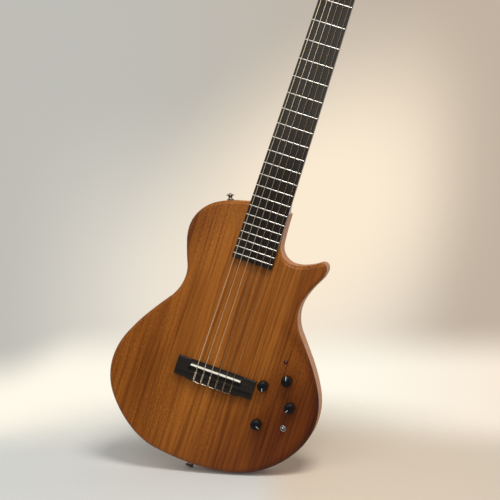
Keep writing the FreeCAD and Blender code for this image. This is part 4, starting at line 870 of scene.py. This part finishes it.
def knob_profile(height):
    """A domed knob about Z, hollow underneath for its shaft and nut."""
    crown = 7.8 * MM
    dome = 3.2 * MM
    ceiling = height - 5.5 * MM
    profile = [(0, ceiling), (3.1 * MM, ceiling)] + mm((3.1, 4.3), (7.3, 4.3), (7.3, 0), (7.7, 0))
    profile += arc((7.7 * MM, 0.5 * MM), 0.5 * MM, -90, 0, 3)
    steps = 12
    for k in range(steps + 1):
        angle = math.pi / 2 * k / steps
        profile.append((crown * math.cos(angle) ** 0.6 if k < steps else 0,
                        height - dome + dome * math.sin(angle)))
    return profile


def pointer_on(knob, name):
    """A thin white line laid on the knob's dome, from near its middle over the shoulder."""
    line = new_object(name, knob.data.copy())
    half = sizes().pointer_width / 2
    top = max(v.co.z for v in line.data.vertices)
    edit(line)
    for where, normal in (((half, 0, 0), (1, 0, 0)), ((-half, 0, 0), (-1, 0, 0)),
                          ((0, 2.2 * MM, 0), (0, -1, 0)), ((0, 0, top - 5.2 * MM), (0, 0, -1))):
        bpy.ops.mesh.select_all(action="SELECT")
        bpy.ops.mesh.bisect(plane_co=where, plane_no=normal, clear_outer=True)
    pick(line, "FACE", lambda face: face.normal.z < -0.2
         or face.calc_center_median().y < 3 * MM and face.normal.z < 0.2)
    bpy.ops.mesh.delete(type="FACE")
    bpy.ops.object.mode_set(mode="OBJECT")
    return modified(line, "SOLIDIFY", thickness=0.12 * MM, offset=0.9)


class GUITAR_OT_controls(bpy.types.Operator):
    """Four domed knobs with pointers, the indicator lens and the toggle switch"""
    bl_idname = "guitar.controls"
    bl_label = "Controls"

    def execute(self, context):
        for name, heading in POINTER_HEADINGS.items():
            node = f"{name}_knob"
            low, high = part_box(node)
            knob = turned(f"{name}_dome", 64, knob_profile(high.y - low.y))
            pointer = pointer_on(knob, f"{name}_pointer")
            centre = centre_of(node)
            for piece, look, nodes in ((knob, "gloss_black", [node]), (pointer, "white_fill", [])):
                place(piece, (centre.x, high.y, centre.z), facing(OUT, heading))
                finished(smooth(piece, 40), "knob_plastic", look, *nodes, body=f"{name}_control")
        self.make_lens()
        self.make_switch()
        nuts = bevelled(copy_of("mounting_nuts", "panel_nuts"), 0.3 * MM, 2, 50)
        finished(weighted(nuts), "chrome", "bright_chrome", "mounting_nuts")
        return {"FINISHED"}

    def make_lens(self):
        low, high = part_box("indicator_lens")
        centre = centre_of("indicator_lens")
        where = (centre.x, 0, centre.z)
        radius = 2.2 * MM
        shoulder = 0.25 * MM
        dome = -low.y - shoulder
        profile = [(0, -high.y), (radius, -high.y), (radius, shoulder)]
        profile += [(radius * math.cos(angle), shoulder + dome * math.sin(angle))
                    for angle in (0.2, 0.45, 0.7, 0.95, 1.2, 1.4)]
        lens = place(turned("glowing_lens", 40, profile + [(0, -low.y)]), where, facing(OUT))
        finished(smooth(lens, 40), "red_lens", "red_lens", "indicator_lens")
        ring = turned("lens_bezel", 40, mm((2.25, 0.02), (3.15, 0.02), (3.05, 0.3), (2.75, 0.5),
                                           (2.4, 0.5), (2.25, 0.35), (2.25, 0.02)))
        place(ring, where, facing(OUT))
        finished(smooth(ring, 40), "black_plastic", "gloss_black")

    def make_switch(self):
        low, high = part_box("switch_body")
        centre = centre_of("switch_body")
        where = (centre.x, 0, centre.z)
        top = -low.y
        pitch = 0.5
        thread = mm(*(point for k in range(9)
                      for point in ((3.05, k * pitch + 0.1), (2.85, k * pitch + 0.35))))
        profile = mm((0, -4), (3.05, -4)) + [p for p in thread if p[1] < top - 0.4 * MM]
        profile += [(2.95 * MM, top - 0.3 * MM), (2.75 * MM, top), (2.35 * MM, top),
                    (2.25 * MM, top - 0.3 * MM), *mm((2.25, -3), (0, -3))]
        bushing = place(turned("switch_bushing", 40, profile), where, facing(OUT))
        finished(smooth(bushing, 30), "chrome", "bright_chrome")
        case = block("switch_case", (low.x, 7 * MM, low.z), high)
        bevelled(case, 0.6 * MM, 3)
        finished(smooth(case), "black_plastic", "black_moulding", "switch_body")
        profile = mm((0, -1.6)) + arc((0, 0), 1.6 * MM, -75, 48, 8)
        profile += mm((0.8, 1.7), (0.75, 4), (0.8, 6.5), (1.05, 9), (1.4, 11), (1.55, 12),
                      (1.5, 12.4), (1.25, 12.75), (0.8, 12.93), (0, 13))
        lean = math.radians(12)
        lever = place(turned("bat_lever", 32, profile), where,
                      facing((0, -math.cos(lean), math.sin(lean))))
        finished(smooth(lever, 50), "chrome", "bright_chrome", "switch_lever",
                 body="switch_lever")


# Fittings of the shoulder, the tail and the back

STRAP_BUTTON_ANGLE = math.radians(20.5)
STRAP_BUTTON_LENGTH = 10.5 * MM


class GUITAR_OT_strap_fittings(bpy.types.Operator):
    """Strap button on the shoulder, strap ring and output jack in the tail"""
    bl_idname = "guitar.strap_fittings"
    bl_label = "Strap fittings"

    def execute(self, context):
        axis = Vector((-math.sin(STRAP_BUTTON_ANGLE), 0, math.cos(STRAP_BUTTON_ANGLE)))
        points = corners_of("upper_strap_button")
        centre = mean(points)
        top = max((p - centre).dot(axis) for p in points)
        base = centre + axis * (top - STRAP_BUTTON_LENGTH)
        profile = mm((1.9, 0), (5.3, 0)) + arc((5.1 * MM, 0.75 * MM), 0.6 * MM, -60, 60, 4)
        profile += mm((4.2, 1.6), (3.5, 2.2), (3.2, 3.2), (3.2, 5.2), (3.7, 6.2), (4.9, 6.8))
        profile += arc((5.6 * MM, 7.7 * MM), 0.8 * MM, -75, 75, 6)
        profile += mm((4.6, 8.85), (3.4, 9), (1.9, 9), (1.9, 0))
        button = turned("shoulder_button", 56, profile)
        screw = turned("shoulder_screw", 40, mm(
            (0, -18), (1, -15), (1.6, -12), (1.6, 9), (3.3, 9.02), (3.1, 9.5), (2.4, 10.1),
            (1.4, 10.4), (0, 10.5)))
        half = sizes().slot_width / 2
        cross = block("cross", (-half, -half, 9.5 * MM), (half, half, 11 * MM))
        edit(cross)
        pick(cross, "FACE", lambda face: abs(face.normal.z) < 0.1)
        bpy.ops.mesh.extrude_faces_move(TRANSFORM_OT_shrink_fatten={"value": 1.8 * MM})
        bpy.ops.object.mode_set(mode="OBJECT")
        cleaned(cut_by(screw, close_mesh(cross)))
        for piece, nodes in ((button, ["upper_strap_button"]), (screw, [])):
            place(piece, base, facing(axis))
            finished(smooth(piece, 40), "chrome", "smoked_chrome", *nodes)
        self.make_tail()
        return {"FINISHED"}

    def make_tail(self):
        low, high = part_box("strap_ring")
        centre = centre_of("strap_ring")
        end = (high.z - low.z) / MM
        radius = (high.y - low.y) / 2 / MM
        profile = mm((4.9, 0), (radius - 0.4, 0), *arc((radius - 0.6, 0.6), 0.5, -60, 60, 4),
                     (5.9, 1.6), (5.5, 2.6), (5.5, end - 4.6), (5.9, end - 3.6),
                     *arc((radius - 1.2, end - 2), 1.1, -70, 60, 6), (radius - 1.6, end - 0.4),
                     (5.2, end), (3.9, end), (3.6, end - 0.5), (3.6, 6.1), (4.9, 6), (4.9, 0))
        ring = place(turned("tail_ring", 56, profile), (centre.x, centre.y, high.z),
                     facing((0, 0, -1)))
        finished(smooth(ring, 40), "chrome", "smoked_chrome", "strap_ring")
        barrel = bevelled(copy_of("output_jack", "jack_barrel"), 0.2 * MM, 2, 50)
        finished(weighted(barrel, 32), "chrome", "bright_chrome", "output_jack")


def make_screws(node, name, steps, depth, seat):
    """Slotted screws for a packed set; seat gives each profile, place, axis and heading."""
    screws = []
    for low, high in solids_of(node):
        profile, where, axis, heading = seat(low, high)
        screw = slotted_head(turned("screw", steps, profile), profile[-1][1], depth)
        screws.append(place(screw, where, facing(axis, heading)))
    finished(smooth(join(screws, name), 40), "chrome", "bright_chrome", node)


def cover_screw(low, high):
    """A cover screw's seat; the slots of the four head different ways."""
    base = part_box("cavity_cover")[1].y
    head = 2.5 * MM
    top = high.y - base
    profile = mm((0, -9), (1, -9), (1, 0.05), (2.5, 0.05))
    profile += [(head * 0.97, top * 0.35), (head * 0.8, top * 0.72), (head * 0.45, top * 0.95),
                (0, top)]
    return (profile, ((low.x + high.x) / 2, base, (low.z + high.z) / 2), (0, 1, 0),
            (math.cos(low.x * 900), 0, math.sin(low.x * 900)))


def plate_screw(low, high):
    """A tuner plate's screw; the slots of the four head different ways."""
    centre = (low + high) / 2
    side = 1 if centre.x > 0 else -1
    end = high.x if side > 0 else low.x
    profile = mm((0, -8), (1, -8), (1, 0.03), (2.05, 0.03), (2, 0.35), (1.6, 0.75), (0.9, 0.96),
                 (0, 1))
    return (profile, (end - side * MM, centre.y, centre.z), (side, 0, 0),
            (0, math.cos(centre.z * 700), math.sin(centre.z * 700)))


class GUITAR_OT_back_fittings(bpy.types.Operator):
    """Cavity cover with its screws, battery box and hinged battery door"""
    bl_idname = "guitar.back_fittings"
    bl_label = "Back fittings"

    def execute(self, context):
        for node, name, body in (("cavity_cover", "control_cover", "guitar"),
                                 ("battery_box", "battery_tray", "guitar"),
                                 ("battery_door", "battery_lid", "battery_door")):
            piece = cleaned(soften(copy_of(node, name), sizes().cover_edge, 2, square_edge))
            finished(weighted(piece, 32), "black_plastic", "black_moulding", node, body=body)
        make_screws("cover_screws", "cover_screw_set", 32, 0.45 * MM, cover_screw)
        return {"FINISHED"}


# Tuning machines

GEAR_TEETH = 14
GEAR_ROOT = 4.15 * MM
GEAR_WIDTH = 2.1 * MM
TOOTH_HEIGHT = 1.3 * MM
HEAD_TILT = math.radians(12)
HEAD_UP = Vector((0, math.sin(HEAD_TILT), math.cos(HEAD_TILT)))


def gear_wheel(name):
    """A gear about Z with a tooth on its +Y side: every other side face is drawn out."""
    half_pitch = math.pi / GEAR_TEETH

    def on_tooth(face):
        turns = math.atan2(face.normal.x, face.normal.y) / (2 * half_pitch)
        return abs(face.normal.z) < 0.1 and abs(turns - round(turns)) < 0.2

    def tooth_edge(edge):
        first, second = (vert.co for vert in edge.verts)
        return (sharp(edge, 50) and abs(first.z - second.z) > MM
                and min(first.xy.length, second.xy.length) > 5 * MM)

    gear = cylinder(name, 2 * GEAR_TEETH, (GEAR_ROOT, GEAR_ROOT, GEAR_WIDTH),
                    rotation=(0, 0, half_pitch / 2))
    edit(gear)
    pick(gear, "FACE", on_tooth)
    bpy.ops.mesh.extrude_faces_move(TRANSFORM_OT_shrink_fatten={"value": TOOTH_HEIGHT})
    bpy.ops.object.mode_set(mode="OBJECT")
    soften(close_mesh(gear), 0.25 * MM, 2, tooth_edge)
    return bevelled(gear, 0.1 * MM, 2, 60)


class GUITAR_OT_tuners(bpy.types.Operator):
    """Side plates, string rollers with their gears, worm shafts and pearl buttons"""
    bl_idname = "guitar.tuners"
    bl_label = "Tuning machines"

    def execute(self, context):
        for node in ("tuner_plate_bass", "tuner_plate_treble"):
            plate = bevelled(copy_of(node, node + "_edged"), 0.2 * MM, 2, 50)
            finished(weighted(plate, 32), "chrome", "bright_chrome", node)
        make_screws("tuner_screws", "plate_screw_set", 28, 0.4 * MM, plate_screw)
        for number in range(1, 7):
            self.make_button(number)
            self.make_roller(number)
            worm = bevelled(copy_of(f"worm_shaft_{number}", f"worm_screw_{number}"), 0.08 * MM, 2,
                            40)
            finished(smooth(worm, 40), "roller_metal", "polished_brass", f"worm_shaft_{number}",
                     body=f"tuning_key_{number}")
        return {"FINISHED"}

    def make_button(self, number):
        node = f"tuner_button_{number}"
        button = cylinder(f"pearl_button_{number}", 64, Vector((9.5, 7, 7)) * MM)
        bevelled(button, 2.6 * MM, 8, 60)
        place(button, centre_of(node), facing((1, 0, 0), HEAD_UP))
        finished(weighted(button, 50), "button_plastic", "pearl_button", node,
                 body=f"tuning_key_{number}")

    def make_roller(self, number):
        node = f"string_roller_{number}"
        body = f"roller_{number}"
        axis = centre_of(node)
        side = 1 if axis.x > 0 else -1
        inner, outer = sorted(abs(corner.x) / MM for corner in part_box(node))
        start = inner + 6
        end = start + 15.4
        profile = mm((0, inner), (2.3, inner), (2.5, inner + 0.2), (2.5, start), (4.2, start),
                     (4.7, start + 0.5), (4.7, end - 0.5), (4.2, end), (2.5, end),
                     (2.5, outer - 0.3), (2.2, outer), (0, outer))
        capstan = turned(f"string_capstan_{number}", 48, profile)
        slotted_head(capstan, outer * MM, 0.6 * MM)
        place(capstan, (0, axis.y, axis.z), facing((side, 0, 0)))
        finished(smooth(capstan, 35), "roller_metal", "bright_chrome", node, body=body)
        gear = gear_wheel(f"roller_gear_{number}")
        place(gear, (centre_of(f"worm_shaft_{number}").x, axis.y, axis.z),
              facing((side, 0, 0), HEAD_UP))
        finished(smooth(gear, 32), "roller_metal", "polished_brass", node, body=body)


HIDDEN_FINISHES = {
    "truss_rod": "plain_steel", "saddle_pickup": "plain_steel", "potentiometers": "pressed_metal",
    "preamp_board": "board_lacquer", "battery": "battery_jacket", "volume_shaft": "pressed_metal",
    "bass_shaft": "pressed_metal", "middle_shaft": "pressed_metal",
    "treble_shaft": "pressed_metal",
}


class GUITAR_OT_hidden_parts(bpy.types.Operator):
    """Finishes of the parts inside the guitar"""
    bl_idname = "guitar.hidden_parts"
    bl_label = "Hidden parts"

    def execute(self, context):
        for node, look in HIDDEN_FINISHES.items():
            paint(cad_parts[node].data, look)
        return {"FINISHED"}


# The photograph's camera and the studio

CAMERA_PLACE = Vector((0.2991, -2.0692, -0.2380))
CAMERA_RIGHT = Vector((0.9366, 0.1720, 0.3054))
CAMERA_UP = Vector((-0.3184, 0.0529, 0.9465))
CAMERA_BACK = Vector((0.1466, -0.9837, 0.1043))
LENS = 100.8


def make_world():
    """A pale wall for the camera with a painted soft glow and painted light and shade on it and on
    the floor below, a room for reflections, and a fill light.
    """
    world = bpy.data.worlds.new("studio")
    bpy.context.scene.world = world
    world.use_nodes = True
    tree = world.node_tree
    tree.nodes.clear()
    ray = add(tree, "TexCoord").outputs["Generated"]
    along, right, up, toward = (measure(tree, "DOT_PRODUCT", ray, way) for way in (
        -CAMERA_BACK, CAMERA_RIGHT, CAMERA_UP, (0, 1, 0)))
    aside = calc(tree, "DIVIDE", right, along)
    above = calc(tree, "DIVIDE", up, along)
    front = spread(tree, along, 0.90, 0.966)

    def beside(low, high):
        return spread(tree, aside, low, high)

    upward = calc(tree, "SUBTRACT", above, 0.03)
    across = calc(tree, "MULTIPLY_ADD", upward, -0.35, calc(tree, "SUBTRACT", aside, 0.055))
    upward = times(tree, upward, 7.0)
    across = times(tree, across, 7.5)
    distance = calc(tree, "SQRT", plus(tree, times(tree, across, across),
                                       times(tree, upward, upward)))
    # Painted light on the wall: darker and warmer to the right, a brighter band low on the left and
    # a warm glow right of the middle.
    wall = blend(tree, times(tree, beside(-0.12, 0.16), front), (0.52, 0.51, 0.47),
                 (0.54, 0.45, 0.36))
    painted_brightening = times(tree, spread(tree, above, 0.12, -0.04), beside(-0.19, -0.05),
                 beside(0.16, 0.04), 0.85, front)
    wall = blend(tree, painted_brightening, wall, (0.86, 0.80, 0.70))
    glow = times(tree, spread(tree, distance, 1.15, 0.15), beside(0.20, 0.11), front)
    wall = blend(tree, glow, wall, (0.97, 0.83, 0.65))
    # Painted light and shade on the floor: a lit stretch further back and a darker near stretch,
    # warm on the right.
    lit_floor = blend(tree, beside(0.06, 0.2), (1.0, 0.95, 0.82), (0.95, 0.83, 0.69))
    painted_floor_shade = blend(tree, beside(-0.01, 0.06), (0.66, 0.665, 0.64), (0.67, 0.57, 0.46))
    floor = blend(tree, spread(tree, above, -0.120, -0.150), lit_floor, painted_floor_shade)
    sloped = calc(tree, "MULTIPLY_ADD", beside(-0.12, -0.18), 0.018, above)
    shade = blend(tree, times(tree, spread(tree, sloped, -0.050, -0.088), front), wall, floor)
    bright = calc(tree, "MAXIMUM", spread(tree, toward, -0.9, 0.6), spread(tree, up, -0.1, 0.75))
    seen = add(tree, "Background", shade, 1.0)
    fill_light = add(tree, "Background", (1.0, 0.97, 0.93), 0.29)
    gloss = add(tree, "Background", (0.85, 0.80, 0.72),
                calc(tree, "MULTIPLY_ADD", bright, 0.82, 0.2))
    paths = add(tree, "LightPath").outputs
    reflected = calc(tree, "MAXIMUM", paths["Is Glossy Ray"], paths["Is Transmission Ray"])
    lighting = mix_shaders(tree, reflected, fill_light.outputs[0], gloss.outputs[0])
    add(tree, "OutputWorld", mix_shaders(tree, paths["Is Camera Ray"], lighting, seen.outputs[0]))


def make_floor():
    """A round pale floor patch under the tail, fading out before its rim."""
    tip = math.radians(8)
    normal = (CAMERA_UP * math.cos(tip) + CAMERA_BACK * math.sin(tip)).normalized()
    centre = min((v.co for node in ("body_core", "strap_ring")
                  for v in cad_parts[node].data.vertices), key=normal.dot).copy()
    deselect()
    bpy.ops.mesh.primitive_circle_add(vertices=96, radius=0.62, fill_type="NGON")
    floor = bpy.context.object
    floor.name = "studio_floor"
    place(floor, centre - normal * 0.5 * MM, facing(normal))
    material = bpy.data.materials.new("studio_floor_paint")
    material.use_nodes = True
    tree = material.node_tree
    tree.nodes.clear()
    where = add(tree, "TexCoord").outputs["Object"]
    grain = noise(tree, where, 18, 3, 0.5)
    reach = calc(tree, "MULTIPLY_ADD", grain, 0.02, measure(tree, "DISTANCE", where, centre))
    shown = calc(tree, "SUBTRACT", 1.0, spread(tree, reach, 0.18, 0.58))
    beside = calc(tree, "SUBTRACT", measure(tree, "DOT_PRODUCT", where, CAMERA_RIGHT),
                  centre.dot(CAMERA_RIGHT))
    cool = blend(tree, grain, (0.68, 0.695, 0.68), (0.71, 0.725, 0.71))
    # Painted warm light: the floor turns warmer to the right of the tail.
    tone = blend(tree, spread(tree, beside, 0.0, 0.09), cool, (0.71, 0.62, 0.51))
    paint_shader = add(tree, "BsdfDiffuse", tone).outputs[0]
    light = add(tree, "Emission", tone, 0.05).outputs[0]
    by_camera = add(tree, "LightPath").outputs["Is Camera Ray"]
    seen = mix_shaders(tree, by_camera, paint_shader,
                       add(tree, "AddShader", paint_shader, light).outputs[0])
    behind = add(tree, "NewGeometry").outputs["Backfacing"]
    share = times(tree, shown, calc(tree, "SUBTRACT", 1.0, times(tree, behind, by_camera)))
    clear = add(tree, "BsdfTransparent").outputs[0]
    add(tree, "OutputMaterial", mix_shaders(tree, share, clear, seen))
    floor.data.materials.append(material)


def lamp(name, target, back, up, right, share, size, tint):
    """A soft square lamp whose light gives a white face a share of its full white."""
    data = bpy.data.lights.new(name, "AREA")
    where = target + CAMERA_BACK * back + CAMERA_UP * up + CAMERA_RIGHT * right
    way = target - where
    data.shape = "SQUARE"
    data.size = size
    data.energy = math.pi ** 2 * share * way.length_squared
    data.color = tint
    light = new_object(name, data)
    light.location = where
    light.rotation_euler = way.to_track_quat("-Z", "Y").to_euler()


class GUITAR_OT_stage(bpy.types.Operator):
    """Floor, pale backdrop, studio lamps and the photograph's camera"""
    bl_idname = "guitar.stage"
    bl_label = "Stage"

    def execute(self, context):
        scene = context.scene
        scene.view_settings.view_transform = "Standard"
        data = bpy.data.cameras.new("photograph_camera")
        data.lens = LENS
        data.sensor_width = 36
        data.sensor_fit = "HORIZONTAL"
        data.clip_start = 0.05
        camera = new_object("photograph_camera", data)
        turn = Matrix((CAMERA_RIGHT, CAMERA_UP, CAMERA_BACK)).transposed()
        camera.matrix_world = Matrix.Translation(CAMERA_PLACE) @ turn.to_4x4()
        scene.camera = camera
        make_world()
        make_floor()
        target = Vector((-0.04, 0, -0.58))
        lamp("key_light", target, 1.55, 0.8, -0.5, 0.30, 1.3, (1.0, 0.98, 0.94))
        lamp("overhead_light", target, 1.2, 1.6, 0.4, 0.62, 0.7, (1.0, 0.97, 0.92))
        lamp("warm_light", target, -1.1, 0.35, 1.6, 0.30, 2.2, (1.0, 0.90, 0.78))
        return {"FINISHED"}


class GUITAR_PT_pieces(bpy.types.Panel):
    """The guitar's pieces, each with its button"""
    bl_idname = "GUITAR_PT_pieces"
    bl_label = "Classical guitar"
    bl_space_type = "VIEW_3D"
    bl_region_type = "UI"
    bl_category = "Guitar"

    def draw(self, context):
        column = self.layout.column()
        for operator in OPERATORS:
            column.operator(operator.bl_idname)
        for group in (context.scene.guitar_sizes, context.scene.guitar_colours):
            for name in group.__annotations__:
                column.prop(group, name)


OPERATORS = (GUITAR_OT_stage, GUITAR_OT_woods, GUITAR_OT_frets, GUITAR_OT_bridge,
             GUITAR_OT_strings, GUITAR_OT_controls, GUITAR_OT_strap_fittings,
             GUITAR_OT_back_fittings, GUITAR_OT_tuners, GUITAR_OT_hidden_parts)
CLASSES = (GuitarSizes, GuitarColours, *OPERATORS, GUITAR_PT_pieces)


def register():
    for item in CLASSES:
        bpy.utils.register_class(item)
    bpy.types.Scene.guitar_sizes = bpy.props.PointerProperty(type=GuitarSizes)
    bpy.types.Scene.guitar_colours = bpy.props.PointerProperty(type=GuitarColours)


def unregister():
    del bpy.types.Scene.guitar_colours
    del bpy.types.Scene.guitar_sizes
    for item in reversed(CLASSES):
        bpy.utils.unregister_class(item)


def main():
    """Make every piece in order."""
    register()
    bpy.ops.guitar.stage()
    bpy.ops.guitar.woods()
    bpy.ops.guitar.frets()
    bpy.ops.guitar.bridge()
    bpy.ops.guitar.strings()
    bpy.ops.guitar.controls()
    bpy.ops.guitar.strap_fittings()
    bpy.ops.guitar.back_fittings()
    bpy.ops.guitar.tuners()
    bpy.ops.guitar.hidden_parts()


if __name__ == "__main__":
    main()
